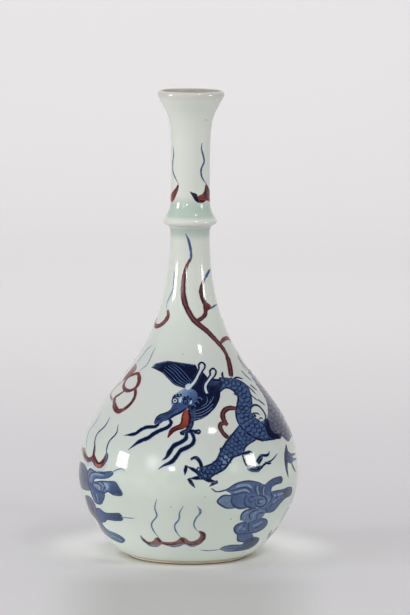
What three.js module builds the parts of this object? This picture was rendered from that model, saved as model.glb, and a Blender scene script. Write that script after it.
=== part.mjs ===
// A pear-shaped porcelain bottle vase on a low foot ring, with a raised ring at mid-neck and a
// trumpet mouth. The potter throws it in sections and lutes them rim to rim with slip, so each
// section is one mesh here, and neighbours meet face to face on the flat rims of their seams.
// Millimetres, +Z up. The origin is the centre of the face that the foot stands on.
import * as THREE from "three";

// Heights above the table
const FOOT_HEIGHT = 1.6;
const BELLY_HEIGHT = 42.0;
const SHOULDER_HEIGHT = 104.0;
const NECK_FOOT_HEIGHT = 168.0;

// Heights of the sections above the lower neck
const COLLAR_LENGTH = 18.0;
const UPPER_NECK_LENGTH = 54.0;

// Outside radii
const FOOT_RADIUS = 30.7;
const BELLY_RADIUS = 56.7;
const NECK_RADIUS = 10.1;
const RING_RADIUS = 13.75;
const UPPER_NECK_RADIUS = 9.85;
const MOUTH_RADIUS = 16.9;

// Walls
const BODY_WALL = 3.4;
const NECK_WALL = 3.1;
const LIP_WALL = 3.0;
const FLOOR_THICKNESS = 4.6;

// Foot ring: a wedge, turned with a bevel each side of the face it stands on
const FOOT_RING_WIDTH = 5.6;
const FOOT_BEVEL = 0.5;
const HEEL_STEP = 0.6;

// Base: dished underneath, and filleted inside where the floor meets the wall
const BASE_RECESS = 2.6;
const RECESS_REACH = 15.0;
const FLOOR_FILLET = 6.0;
const FLOOR_FILLET_RISE = 1.5;

// Neck ring: a bead with a short underside and a long hollow flare above
const BEAD_RISE = 5.3;
const BEAD_HALF_HEIGHT = 2.3;
const BEAD_ROOT_RADIUS = 10.6;
const BEAD_UNDER_ANGLE = 1.32;
const BEAD_OVER_ANGLE = 0.69;
const UNDERSIDE_DROP = 1.6;
const CONE_FOOT_REACH = 3.4;
const CONE_FOOT_SPREAD = 0.9;
const CONE_TOP_REACH = 6.0;

// How far the curves hold their direction before they turn (handle lengths of the Bezier curves)
const HEEL_REACH = 7.6;
const HEEL_RISE = 0.2;
const BELLY_REACH_DOWN = 16.5;
const BELLY_REACH_UP = 49.5;
const NECK_REACH_DOWN = 80.0;
const MOUTH_REACH = 41.0;
const MOUTH_FLARE_REACH = 16.5;
const MOUTH_FLARE_ANGLE = 0.48;

// Facets
const AROUND = 56;

const v = (radius, height) => new THREE.Vector2(radius, height);
const bezier = (a, b, c, d) => new THREE.CubicBezierCurve(a, b, c, d);

// Points along a curve, the last one left out where another curve carries on
const along = (curve, steps, withEnd = true) =>
  curve.getPoints(steps).slice(0, withEnd ? undefined : -1);

// The direction a curve runs in, exact at its ends, so that the rims of the seams come out flat
function direction(curve, t) {
  const first = curve.v1.clone().sub(curve.v0).multiplyScalar((1 - t) * (1 - t));
  const second = curve.v2.clone().sub(curve.v1).multiplyScalar(2 * (1 - t) * t);
  const third = curve.v3.clone().sub(curve.v2).multiplyScalar(t * t);
  return first.add(second).add(third).normalize();
}

// The same stretch, one wall thickness inside it; the thickness may change along the stretch
function inside(curve, steps, wallAtStart, wallAtEnd = wallAtStart) {
  const points = [];
  for (let i = 0; i <= steps; i++) {
    const t = i / steps;
    const tangent = direction(curve, t);
    const wall = THREE.MathUtils.lerp(wallAtStart, wallAtEnd, t);
    const p = curve.getPoint(t);
    points.push(v(p.x - tangent.y * wall, p.y + tangent.x * wall));
  }
  return points;
}

// The outside of the whole vase, from the heel above the foot ring to the lip
const collarTopHeight = NECK_FOOT_HEIGHT + COLLAR_LENGTH;
const rimHeight = collarTopHeight + UPPER_NECK_LENGTH;
const heel = v(FOOT_RADIUS + HEEL_STEP, FOOT_HEIGHT);
const widest = v(BELLY_RADIUS, BELLY_HEIGHT);
const neckFoot = v(NECK_RADIUS, NECK_FOOT_HEIGHT);
const collarTop = v(UPPER_NECK_RADIUS, collarTopHeight);
const lipRadius = LIP_WALL / 2;
const lipCentre = v(MOUTH_RADIUS - lipRadius, rimHeight - lipRadius);
const flare = v(Math.sin(MOUTH_FLARE_ANGLE), Math.cos(MOUTH_FLARE_ANGLE));
const lipOuter = v(lipCentre.x + flare.y * lipRadius, lipCentre.y - flare.x * lipRadius);

const lowerCurve = bezier(
  heel,
  v(heel.x + HEEL_REACH, heel.y + HEEL_RISE),
  v(widest.x, widest.y - BELLY_REACH_DOWN),
  widest,
);
const upperCurve = bezier(
  widest,
  v(widest.x, widest.y + BELLY_REACH_UP),
  v(neckFoot.x, neckFoot.y - NECK_REACH_DOWN),
  neckFoot,
);
const mouthCurve = bezier(
  collarTop,
  v(collarTop.x, collarTop.y + MOUTH_REACH),
  v(lipOuter.x - flare.x * MOUTH_FLARE_REACH, lipOuter.y - flare.y * MOUTH_FLARE_REACH),
  lipOuter,
);

// The stretch of a line of points between two heights, cut square where a seam crosses it
function between(points, low, high) {
  const kept = [];
  points.forEach((p, i) => {
    const before = points[i - 1];
    for (const seam of [low, high]) {
      if (before && before.y < seam && p.y > seam) {
        const share = (seam - before.y) / (p.y - before.y);
        kept.push(v(THREE.MathUtils.lerp(before.x, p.x, share), seam));
      }
    }
    if (p.y >= low && p.y <= high) {
      kept.push(p);
    }
  });
  return kept;
}

// An outline closed on itself, for a section with a hole down its middle
const ring = (outline) => [...outline, outline[0].clone()];

// A section turned about the axis, its outline running up the outside and down the inside
function revolve(name, outline, material) {
  const turned = new THREE.LatheGeometry(outline, AROUND);
  const mesh = new THREE.Mesh(turned.rotateX(Math.PI / 2), material);
  mesh.name = name;
  return mesh;
}

const glaze = () => new THREE.MeshStandardMaterial({ color: 0xd3dbd2, roughness: 0.12, metalness: 0 });
const bareClay = () => new THREE.MeshStandardMaterial({ color: 0xb79b78, roughness: 0.8, metalness: 0 });

// The turned ring that the vase stands on, left bare of glaze
function footRing() {
  const outer = FOOT_RADIUS;
  const inner = FOOT_RADIUS - FOOT_RING_WIDTH;
  const outline = [
    v(outer - FOOT_BEVEL, 0),
    v(outer, FOOT_BEVEL),
    v(outer, FOOT_HEIGHT),
    v(inner, FOOT_HEIGHT),
    v(inner + FOOT_BEVEL, 0),
  ];
  return revolve("foot_ring", ring(outline), bareClay());
}

// The lower bowl, with its thick floor hollowed underneath inside the foot ring
function lowerBody() {
  const recessRadius = FOOT_RADIUS - FOOT_RING_WIDTH;
  const ceiling = FOOT_HEIGHT + BASE_RECESS;
  const recess = bezier(
    v(0, ceiling),
    v(RECESS_REACH, ceiling),
    v(recessRadius, ceiling),
    v(recessRadius, FOOT_HEIGHT),
  );
  const floorHeight = ceiling + FLOOR_THICKNESS;
  const filletTop = floorHeight + FLOOR_FILLET_RISE;
  const wall = inside(lowerCurve, 12, BODY_WALL).filter((p) => p.y > filletTop);
  const outline = [
    ...along(recess, 6),
    ...along(lowerCurve, 16),
    ...wall.reverse(),
    v(wall.at(-1).x - FLOOR_FILLET, floorHeight),
    v(0, floorHeight),
  ];
  return revolve("lower_body", outline, glaze());
}

// A ring cut from the wall above the belly, between two seams
function wallSection(name, low, high) {
  const outer = between(along(upperCurve, 20), low, high);
  const inner = between(inside(upperCurve, 16, BODY_WALL, NECK_WALL), low, high);
  return revolve(name, ring([...outer, ...inner.reverse()]), glaze());
}

// The upper half of the belly, drawn in to the shoulder
const shoulder = () => wallSection("shoulder", BELLY_HEIGHT, SHOULDER_HEIGHT);

// The lower neck, which rises out of the shoulder in one sweep
const lowerNeck = () => wallSection("lower_neck", SHOULDER_HEIGHT, NECK_FOOT_HEIGHT);

// The collar that joins the two necks and hides their seam
function neckRing() {
  const beadHeight = NECK_FOOT_HEIGHT + BEAD_RISE;
  const bead = new THREE.EllipseCurve(
    BEAD_ROOT_RADIUS,
    beadHeight,
    RING_RADIUS - BEAD_ROOT_RADIUS,
    BEAD_HALF_HEIGHT,
    -BEAD_UNDER_ANGLE,
    BEAD_OVER_ANGLE,
  );
  const beadTop = bead.getPoint(1);
  const cone = bezier(
    beadTop,
    v(UPPER_NECK_RADIUS + CONE_FOOT_SPREAD, beadTop.y + CONE_FOOT_REACH),
    v(UPPER_NECK_RADIUS, collarTopHeight - CONE_TOP_REACH),
    collarTop,
  );
  const boreTop = UPPER_NECK_RADIUS - NECK_WALL;
  const boreFoot = NECK_RADIUS - NECK_WALL;
  const outline = [
    neckFoot,
    v(BEAD_ROOT_RADIUS, beadHeight - BEAD_HALF_HEIGHT - UNDERSIDE_DROP),
    ...along(bead, 8, false),
    ...along(cone, 6),
    v(boreTop, collarTopHeight),
    v(boreFoot, NECK_FOOT_HEIGHT),
  ];
  return revolve("neck_ring", ring(outline), glaze());
}

// The upper neck, opening into the mouth, with a rounded lip
function upperNeck() {
  const lip = new THREE.EllipseCurve(
    lipCentre.x,
    lipCentre.y,
    lipRadius,
    lipRadius,
    -MOUTH_FLARE_ANGLE,
    Math.PI - MOUTH_FLARE_ANGLE,
  );
  const outline = [
    ...along(mouthCurve, 14, false),
    ...along(lip, 8, false),
    ...inside(mouthCurve, 12, NECK_WALL, LIP_WALL).reverse(),
  ];
  return revolve("upper_neck", ring(outline), glaze());
}

const vase = new THREE.Group();
vase.add(footRing(), lowerBody(), shoulder(), lowerNeck(), neckRing(), upperNeck());

export default vase;
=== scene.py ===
import math

import bmesh
import bpy
from mathutils import Matrix, Vector, noise
from mathutils.bvhtree import BVHTree
from mathutils.geometry import delaunay_2d_cdt, interpolate_bezier


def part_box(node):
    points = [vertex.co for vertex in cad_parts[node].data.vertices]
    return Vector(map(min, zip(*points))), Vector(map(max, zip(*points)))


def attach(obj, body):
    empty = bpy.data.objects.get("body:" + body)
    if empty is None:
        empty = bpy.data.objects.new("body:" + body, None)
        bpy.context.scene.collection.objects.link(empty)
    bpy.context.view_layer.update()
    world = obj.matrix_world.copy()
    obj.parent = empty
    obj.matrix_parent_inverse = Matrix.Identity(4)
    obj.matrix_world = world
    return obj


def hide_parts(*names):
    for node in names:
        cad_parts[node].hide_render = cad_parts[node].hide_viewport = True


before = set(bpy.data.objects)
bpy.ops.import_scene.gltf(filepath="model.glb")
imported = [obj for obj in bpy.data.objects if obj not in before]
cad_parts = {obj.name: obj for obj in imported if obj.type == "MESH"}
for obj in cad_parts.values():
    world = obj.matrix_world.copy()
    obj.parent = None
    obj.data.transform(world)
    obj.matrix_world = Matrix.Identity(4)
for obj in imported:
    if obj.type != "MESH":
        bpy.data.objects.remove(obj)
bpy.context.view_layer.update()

# Glazed body
# One wheel-thrown porcelain body in four luted sections, dipped in a clear, faintly green glaze.
# The glaze is thick and celadon-coloured where it pools above the neck ring, thin and brownish
# where it stops above the foot, and duller down inside the mouth. Its colour also holds painted
# shade under the neck ring, on the shoulder and down inside the mouth, and painted light low on
# the belly.

SPIN_STEPS = 240
MM = 0.001

foot_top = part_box("foot_ring")[1].z
belly_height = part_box("lower_body")[1].z
belly_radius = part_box("lower_body")[1].x
collar_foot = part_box("neck_ring")[0].z
collar_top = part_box("neck_ring")[1].z
ring_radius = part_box("neck_ring")[1].x
mouth_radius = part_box("upper_neck")[1].x
rim_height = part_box("upper_neck")[1].z
foot_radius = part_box("foot_ring")[1].x

LOWER_NECK_RADIUS = 10.1 * MM
UPPER_NECK_RADIUS = 10.0 * MM
BODY_WALL = 3.4 * MM
NECK_WALL = 3.1 * MM
LIP_WALL = 2.2 * MM
LIP_HALF_HEIGHT = 1.9 * MM
LIP_OVERHANG = 0.15 * MM
LIP_STEPS = 16
FOOT_WIDTH = 5.6 * MM
HEEL_STEP = 0.6 * MM
FLOOR_THICKNESS = 4.6 * MM
BASE_RECESS = 2.6 * MM
FLARE_ANGLE = 0.48

# The ring's bead: its root, its underside in millimetres out and up, and its arc in half turns
BEAD_ROOT_RADIUS = 10.6 * MM
BEAD_RISE = 5.3 * MM
BEAD_HALF_HEIGHT = 2.3 * MM
BEAD_UNDERSIDE = ((0.1, 0.6), (0.4, 1.4), (0.8, 2.3))
BEAD_START, BEAD_SWEEP, BEAD_STEPS = -0.42, 0.64, 12

# How far the curves of the outline hold their direction before they turn
HEEL_REACH = 7.6 * MM
HEEL_RISE = 0.2 * MM
BELLY_REACH_DOWN = 16.5 * MM
BELLY_REACH_UP = 49.5 * MM
NECK_REACH_DOWN = 80 * MM
CONE_SPREAD = 0.9 * MM
CONE_FOOT_REACH = 3.4 * MM
CONE_TOP_REACH = 6 * MM
MOUTH_REACH = 43 * MM
MOUTH_FLARE_REACH = 15.4 * MM
RECESS_REACH = 15 * MM

# The fillet inside, between wall and floor
FILLET_TOP = 2 * MM
FILLET_REACH = 2.4 * MM
FILLET_RISE = 0.5 * MM
FILLET_SPREAD = 6 * MM


def stretch(start, start_handle, end_handle, end, count):
    """Points of a stretch of the profile; x is the radius and z the height."""
    knots = [Vector((x, 0, z)) for x, z in (start, start_handle, end_handle, end)]
    return interpolate_bezier(*knots, count)


def inner(points, wall_start, wall_end):
    """The inside of a stretch, one wall in from it, from its top down."""
    wall = []
    for i, point in enumerate(points):
        before, after = points[max(i - 1, 0)], points[min(i + 1, len(points) - 1)]
        along = (after - before).normalized()
        thickness = wall_start + (wall_end - wall_start) * i / (len(points) - 1)
        wall.append(point + Vector((-along.z, 0, along.x)) * thickness)
    return wall[::-1]


lip = LIP_WALL / 2
lip_centre = Vector((mouth_radius + LIP_OVERHANG - lip, 0, rim_height - LIP_HALF_HEIGHT))
flare = Vector((math.sin(FLARE_ANGLE), 0, math.cos(FLARE_ANGLE)))
lip_outer = lip_centre + Vector((flare.z * lip, 0, -flare.x * LIP_HALF_HEIGHT))

heel_radius = foot_radius + HEEL_STEP
belly_out = stretch(
    (heel_radius, foot_top),
    (heel_radius + HEEL_REACH, foot_top + HEEL_RISE),
    (belly_radius, belly_height - BELLY_REACH_DOWN),
    (belly_radius, belly_height),
    count=44,
)
shoulder_out = stretch(
    (belly_radius, belly_height),
    (belly_radius, belly_height + BELLY_REACH_UP),
    (LOWER_NECK_RADIUS, collar_foot - NECK_REACH_DOWN),
    (LOWER_NECK_RADIUS, collar_foot),
    count=90,
)
bead_root = Vector((BEAD_ROOT_RADIUS, 0, collar_foot + BEAD_RISE))
bead_out = []
for spread, rise in BEAD_UNDERSIDE:
    bead_out.append(Vector((LOWER_NECK_RADIUS + spread * MM, 0, collar_foot + rise * MM)))
for step in range(BEAD_STEPS + 1):
    turn = math.pi * (BEAD_START + BEAD_SWEEP * step / BEAD_STEPS)
    across = (ring_radius - bead_root.x) * math.cos(turn)
    bead_out.append(bead_root + Vector((across, 0, BEAD_HALF_HEIGHT * math.sin(turn))))
cone_out = stretch(
    (bead_out[-1].x, bead_out[-1].z),
    (UPPER_NECK_RADIUS + CONE_SPREAD, bead_out[-1].z + CONE_FOOT_REACH),
    (UPPER_NECK_RADIUS, collar_top - CONE_TOP_REACH),
    (UPPER_NECK_RADIUS, collar_top),
    count=16,
)
mouth_handle = lip_outer - flare * MOUTH_FLARE_REACH
mouth_out = stretch(
    (UPPER_NECK_RADIUS, collar_top),
    (UPPER_NECK_RADIUS, collar_top + MOUTH_REACH),
    (mouth_handle.x, mouth_handle.z),
    (lip_outer.x, lip_outer.z),
    count=49,
)
lip_over = []
for step in range(1, LIP_STEPS):
    turn = -FLARE_ANGLE + math.pi * step / LIP_STEPS
    lip_over.append(lip_centre + Vector((lip * math.cos(turn), 0, LIP_HALF_HEIGHT * math.sin(turn))))

floor_top = foot_top + BASE_RECESS + FLOOR_THICKNESS
recess_radius = foot_radius - FOOT_WIDTH
belly_in = [p for p in inner(belly_out, BODY_WALL, BODY_WALL) if p.z > floor_top + FILLET_TOP]
floor_curve = stretch(
    (belly_in[-1].x, belly_in[-1].z),
    (belly_in[-1].x - FILLET_REACH, floor_top + FILLET_RISE),
    (belly_in[-1].x - FILLET_SPREAD, floor_top),
    (0, floor_top),
    count=14,
)
recess_curve = stretch(
    (0, foot_top + BASE_RECESS),
    (RECESS_REACH, foot_top + BASE_RECESS),
    (recess_radius, foot_top + BASE_RECESS),
    (recess_radius, foot_top),
    count=14,
)
outside = recess_curve + belly_out + shoulder_out[1:] + bead_out + cone_out[1:] + mouth_out[1:]
down_inside = (
    inner(mouth_out[::3], NECK_WALL, LIP_WALL)
    + [Vector((LOWER_NECK_RADIUS - NECK_WALL, 0, collar_foot))]
    + inner(shoulder_out[::3], BODY_WALL, NECK_WALL)[1:]
    + belly_in[1::2]
    + floor_curve[1:]
)
profile = outside + lip_over + down_inside


def piece_from(bm, name):
    """An object made of a finished bmesh and put in the scene."""
    mesh = bpy.data.meshes.new(name)
    bm.to_mesh(mesh)
    bm.free()
    piece = bpy.data.objects.new(name, mesh)
    bpy.context.collection.objects.link(piece)
    return piece


def turned(name, points, closed=False):
    """A mesh turned about the vase's axis from its profile."""
    bm = bmesh.new()
    verts = [bm.verts.new(p) for p in points]
    edges = [bm.edges.new(pair) for pair in zip(verts, verts[1:])]
    if closed:
        edges.append(bm.edges.new((verts[-1], verts[0])))
    bmesh.ops.spin(
        bm,
        geom=verts + edges,
        axis=(0, 0, 1),
        cent=(0, 0, 0),
        angle=math.tau,
        steps=SPIN_STEPS,
        use_merge=True,
    )
    bmesh.ops.remove_doubles(bm, verts=bm.verts, dist=1e-6)
    bmesh.ops.recalc_face_normals(bm, faces=bm.faces)
    for face in bm.faces:
        face.smooth = True
    return piece_from(bm, name)


glazed_body = turned("glazed_body", profile)


def node(tree, kind, **values):
    """A shader node with its unlinked sockets set."""
    made = tree.nodes.new(kind)
    for socket, value in values.items():
        made.inputs[socket.replace("_", " ")].default_value = value
    return made


def mix_colour(tree, factor, a, b):
    """A colour mix; factor, a and b are sockets or plain values."""
    mix = tree.nodes.new("ShaderNodeMix")
    mix.data_type = "RGBA"
    for socket, value in ((mix.inputs[0], factor), (mix.inputs[6], a), (mix.inputs[7], b)):
        if hasattr(value, "is_linked"):
            tree.links.new(value, socket)
        else:
            socket.default_value = value
    return mix.outputs[2]


def ramp(tree, value, low, high):
    """0 below one value and 1 above another, smooth between them."""
    step = node(tree, "ShaderNodeMapRange", From_Min=low, From_Max=high)
    step.interpolation_type = "SMOOTHSTEP"
    tree.links.new(value, step.inputs["Value"])
    return step.outputs[0]


def product(tree, a, b):
    """Two values multiplied."""
    both = tree.nodes.new("ShaderNodeMath")
    both.operation = "MULTIPLY"
    tree.links.new(a, both.inputs[0])
    tree.links.new(b, both.inputs[1])
    return both.outputs[0]


def band(tree, height, low, full_low, full_high, high):
    """1 between the two full heights, fading to 0 at the outer two."""
    return product(tree, ramp(tree, height, low, full_low), ramp(tree, height, high, full_high))


def object_place(tree):
    """The Object coordinates, and their X, Y and Z."""
    place = tree.nodes.new("ShaderNodeTexCoord").outputs["Object"]
    split = tree.nodes.new("ShaderNodeSeparateXYZ")
    tree.links.new(place, split.inputs[0])
    return place, split


def srgb(red, green, blue):
    """A colour as read from the screen, 0 to 255, made linear."""
    out = []
    for c in (red / 255, green / 255, blue / 255):
        out.append(c / 12.92 if c <= 0.04045 else ((c + 0.055) / 1.055) ** 2.4)
    return (*out, 1.0)


def new_group(name, inputs, outputs):
    """An empty shader node group with its sockets, and the nodes that lead in and out."""
    group = bpy.data.node_groups.new(name, "ShaderNodeTree")
    for label, kind in inputs:
        group.interface.new_socket(label, in_out="INPUT", socket_type="NodeSocket" + kind)
    for label, kind in outputs:
        group.interface.new_socket(label, in_out="OUTPUT", socket_type="NodeSocket" + kind)
    return group, group.nodes.new("NodeGroupInput"), group.nodes.new("NodeGroupOutput")


def new_material(name, roughness):
    """A material with its roughness set, its node tree and its shader."""
    material = bpy.data.materials.new(name)
    material.use_nodes = True
    shader = material.node_tree.nodes["Principled BSDF"]
    shader.inputs["Roughness"].default_value = roughness
    return material, material.node_tree, shader


GLAZE = srgb(208, 216, 208)
GLAZE_THICK = srgb(200, 210, 200)
GLAZE_POOL = srgb(178, 194, 184)
# Painted shade: the glaze is darkened in a band under the neck ring's bead
GLAZE_SHADE_UNDER_RING = srgb(176, 187, 178)
GLAZE_NECK = srgb(211, 215, 207)
# Painted light: the glaze is made paler low on the belly, standing in for light thrown up from the floor
GLAZE_LOW_PAINTED_LIGHT = srgb(224, 233, 223)
GLAZE_HEEL = srgb(204, 192, 164)
# Painted shade: the glaze is made darker over the upper belly and shoulder
GLAZE_SHOULDER_SHADE = srgb(192, 196, 192)
# Painted shade: the glaze down inside the mouth is darkened
GLAZE_INSIDE_SHADE = srgb(166, 164, 156)
GLAZE_LIP = srgb(198, 195, 189)

# The heights between which each tone comes in and, where there are four, goes out again
GLAZE_COATS = (
    ((0.09, 0.16), GLAZE_NECK),
    # painted shade over the shoulder
    ((0.048, 0.07, 0.1, 0.132), GLAZE_SHOULDER_SHADE),
    ((0.1742, 0.1765, 0.18, 0.188), GLAZE_POOL),
    # painted shade under the neck ring
    ((0.163, 0.168, 0.1695, 0.1712), GLAZE_SHADE_UNDER_RING),
    ((0.2355, 0.2385), GLAZE_LIP),
    # painted light low on the belly
    ((0.038, 0.008), GLAZE_LOW_PAINTED_LIGHT),
    ((0.0032, 0.002), GLAZE_HEEL),
)
INSIDE_EDGE = 0.25 * MM

glaze_tone, tone_in, tone_out = new_group(
    "glaze_tone",
    [("Place", "Vector")],
    [("Colour", "Color"), ("Ripple", "Float")],
)
place = tone_in.outputs["Place"]
split = glaze_tone.nodes.new("ShaderNodeSeparateXYZ")
glaze_tone.links.new(place, split.inputs[0])
height = split.outputs["Z"]
cloudiness = node(glaze_tone, "ShaderNodeTexNoise", Scale=38.0, Detail=3.0)
ripple = node(glaze_tone, "ShaderNodeTexNoise", Scale=110.0, Detail=1.0)
for texture in (cloudiness, ripple):
    glaze_tone.links.new(place, texture.inputs["Vector"])
patches = ramp(glaze_tone, cloudiness.outputs["Fac"], 0.35, 0.65)
tone = mix_colour(glaze_tone, patches, GLAZE, GLAZE_THICK)
for heights, colour in GLAZE_COATS:
    spread = ramp if len(heights) == 2 else band
    tone = mix_colour(glaze_tone, spread(glaze_tone, height, *heights), tone, colour)
glaze_tone.links.new(tone, tone_out.inputs["Colour"])
glaze_tone.links.new(ripple.outputs["Fac"], tone_out.inputs["Ripple"])


def glaze_over(tree, shader):
    """The clear glaze's tone and its faint orange-peel ripple, in a material."""
    tone = tree.nodes.new("ShaderNodeGroup")
    tone.node_tree = glaze_tone
    place = tree.nodes.new("ShaderNodeTexCoord").outputs["Object"]
    tree.links.new(place, tone.inputs["Place"])
    bump = node(tree, "ShaderNodeBump", Strength=0.06, Distance=0.0001)
    tree.links.new(tone.outputs["Ripple"], bump.inputs["Height"])
    tree.links.new(bump.outputs[0], shader.inputs["Normal"])
    return tone.outputs["Colour"], place


glaze, tree, shader = new_material("clear_glaze", 0.08)
tone, place = glaze_over(tree, shader)
tree.links.new(tone, shader.inputs["Base Color"])
glazed_body.data.materials.append(glaze)

# Down inside the mouth the glaze is rougher, and its colour is darkened in mottled patches as painted
# shade
glaze_inside_shaded, tree, shader = new_material("glaze_inside_shaded", 0.3)
tone, place = glaze_over(tree, shader)
shade_mottle = node(tree, "ShaderNodeTexNoise", Scale=60.0)
tree.links.new(place, shade_mottle.inputs["Vector"])
tone = mix_colour(tree, ramp(tree, shade_mottle.outputs["Fac"], 0.0, 0.5), tone, GLAZE_INSIDE_SHADE)
tree.links.new(tone, shader.inputs["Base Color"])
glazed_body.data.materials.append(glaze_inside_shaded)
for polygon in glazed_body.data.polygons:
    inwards = polygon.normal.x * polygon.center.x + polygon.normal.y * polygon.center.y < 0
    if inwards and floor_top < polygon.center.z < rim_height - INSIDE_EDGE:
        polygon.material_index = 1

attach(glazed_body, "root")
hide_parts("lower_body", "shoulder", "lower_neck", "neck_ring", "upper_neck")


# Foot rim
# The turned ring that the vase stands on, wiped bare of glaze before the firing, so the clay
# shows tan, with painted contact shadow darkening its lowest edge where it meets the table.

FOOT_BEVEL = 0.5 * MM
CLAY_PALE = srgb(224, 214, 192)
CLAY_DARK = srgb(206, 194, 170)
# Painted contact shadow along the rim's lowest edge
CLAY_CONTACT_SHADOW = srgb(92, 78, 60)
CONTACT_SHADOW_TOP, CONTACT_SHADOW_FULL = 0.0008, 0.0004
rim_outer = foot_radius
rim_inner = recess_radius
foot_rim = turned(
    "foot_rim",
    [
        Vector((rim_inner + FOOT_BEVEL, 0, 0)),
        Vector((rim_outer - FOOT_BEVEL, 0, 0)),
        Vector((rim_outer - 0.25 * FOOT_BEVEL, 0, 0.3 * FOOT_BEVEL)),
        Vector((rim_outer, 0, FOOT_BEVEL)),
        Vector((rim_outer, 0, foot_top)),
        Vector((rim_inner, 0, foot_top)),
    ],
    closed=True,
)
clay, tree, shader = new_material("bare_clay", 0.8)
place, split = object_place(tree)
grit = node(tree, "ShaderNodeTexNoise", Scale=900.0, Detail=4.0)
tree.links.new(place, grit.inputs["Vector"])
tan = mix_colour(tree, grit.outputs["Fac"], CLAY_DARK, CLAY_PALE)
# Painted contact shadow: the lowest part of the rim is darkened
contact_shade = ramp(tree, split.outputs["Z"], CONTACT_SHADOW_TOP, CONTACT_SHADOW_FULL)
tan = mix_colour(tree, contact_shade, tan, CLAY_CONTACT_SHADOW)
tree.links.new(tan, shader.inputs["Base Color"])
rough = node(tree, "ShaderNodeBump", Strength=0.4, Distance=0.0002)
tree.links.new(grit.outputs["Fac"], rough.inputs["Height"])
tree.links.new(rough.outputs[0], shader.inputs["Normal"])
foot_rim.data.materials.append(clay)
for polygon in foot_rim.data.polygons:
    polygon.use_smooth = False

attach(foot_rim, "root")
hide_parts("foot_ring")


# Camera
# It stands where the photo was taken from, fitted to the ellipses of the mouth, the ring and the
# foot. The painting is laid on from it, so each stroke lands where the photo shows it.

FRAME_WIDTH, FRAME_HEIGHT = 410, 615
eye = Vector((0.008, -2.2, 0.396))
target = Vector((0.008, 0, 0.1285))
LENS = 252.8
SENSOR = 36.0
ROLL = math.radians(0.46)

camera_data = bpy.data.cameras.new("camera")
camera_data.lens = LENS
camera_data.sensor_width = SENSOR
camera = bpy.data.objects.new("camera", camera_data)
bpy.context.collection.objects.link(camera)
camera.location = eye
aim = (target - eye).to_track_quat("-Z", "Y").to_matrix().to_4x4()
camera.matrix_world = Matrix.Translation(eye) @ aim @ Matrix.Rotation(ROLL, 4, "Z")
bpy.context.scene.camera = camera


# Underglaze painting
# A brush lays cobalt and copper on the raw body before the glaze goes over them. Each stroke is a
# thin film that follows the body, dark in its middle and paler at its soft edges and ends.

bm = bmesh.new()
bm.from_mesh(glazed_body.data)
surface = BVHTree.FromBMesh(bm)
bm.free()
camera_turn = camera.matrix_world.to_quaternion()
AXIS_PIXEL = 189.5
FILM = 0.12 * MM
LONGEST_EDGE = 1.3 * MM
CREASE = 0.6

# A pixel past the outline is moved in by a step, at most so often, and else falls on the front
SIDE_STEP, SIDE_TRIES = 0.4, 60
FALLBACK = Vector((0, -0.1, 0.1))

# Spacing of the points in pixels: along a line, round the rim of a wash and across it
LINE_SPACING, RIM_SPACING, WASH_SPACING = 1.5, 1.8, 3.0

# How far in millimetres each stroke or wash of a motif lies over the one before
STROKE_LIFT, WASH_LIFT = 0.00012, 0.006

# Half a line's breadth as a share of its width, and the width under which it has no dark core
HALF_WIDTH, HAIRLINE = 0.78, 0.5

# Scales of the noise in a line's breadth, in how its colour heaps and in a wash
WAVER_SCALE, HEAP_SCALE, PATCH_SCALE = 900, 350, 160

# Corners of a disc, then the fish scales' rows either side, their depth and points of an arc
DISC_CORNERS = 8
SCALE_COLUMNS, SCALE_DEPTH, SCALE_POINTS = 6, 0.62, 5


def on_vase(px, py):
    """The point of the body behind a pixel of the photo."""
    for _ in range(SIDE_TRIES):
        across = (px - FRAME_WIDTH / 2) / FRAME_HEIGHT * SENSOR
        up = (FRAME_HEIGHT / 2 - py) / FRAME_HEIGHT * SENSOR
        ray = camera_turn @ Vector((across, up, -LENS)).normalized()
        hit = surface.ray_cast(eye, ray)[0]
        if hit:
            return hit
        px += SIDE_STEP if px < AXIS_PIXEL else -SIDE_STEP
    return surface.find_nearest(FALLBACK)[0]


def smooth_path(points, spacing, closed=False):
    """Points close together on a smooth line through the given ones."""
    count = len(points)
    out = []
    for i in range(count if closed else count - 1):
        p1, p2 = Vector(points[i]), Vector(points[(i + 1) % count])
        first, last = i == 0 and not closed, i + 2 >= count and not closed
        p0 = p1 * 2 - p2 if first else Vector(points[i - 1])
        p3 = p2 * 2 - p1 if last else Vector(points[(i + 2) % count])
        steps = max(1, round((p2 - p1).length / spacing))
        for k in range(steps):
            t = k / steps
            bend = (2 * p0 - 5 * p1 + 4 * p2 - p3) * t * t + (3 * p1 - p0 - 3 * p2 + p3) * t**3
            out.append(0.5 * (2 * p1 + (p2 - p0) * t + bend))
    if not closed:
        out.append(Vector(points[-1]))
    return out


def inside(spot, outline):
    """Whether a pixel lies inside a closed outline of pixels."""
    found = False
    for a, b in zip(outline, outline[1:] + outline[:1]):
        if (a.y > spot.y) != (b.y > spot.y):
            if spot.x < a.x + (spot.y - a.y) / (b.y - a.y) * (b.x - a.x):
                found = not found
    return found


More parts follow.
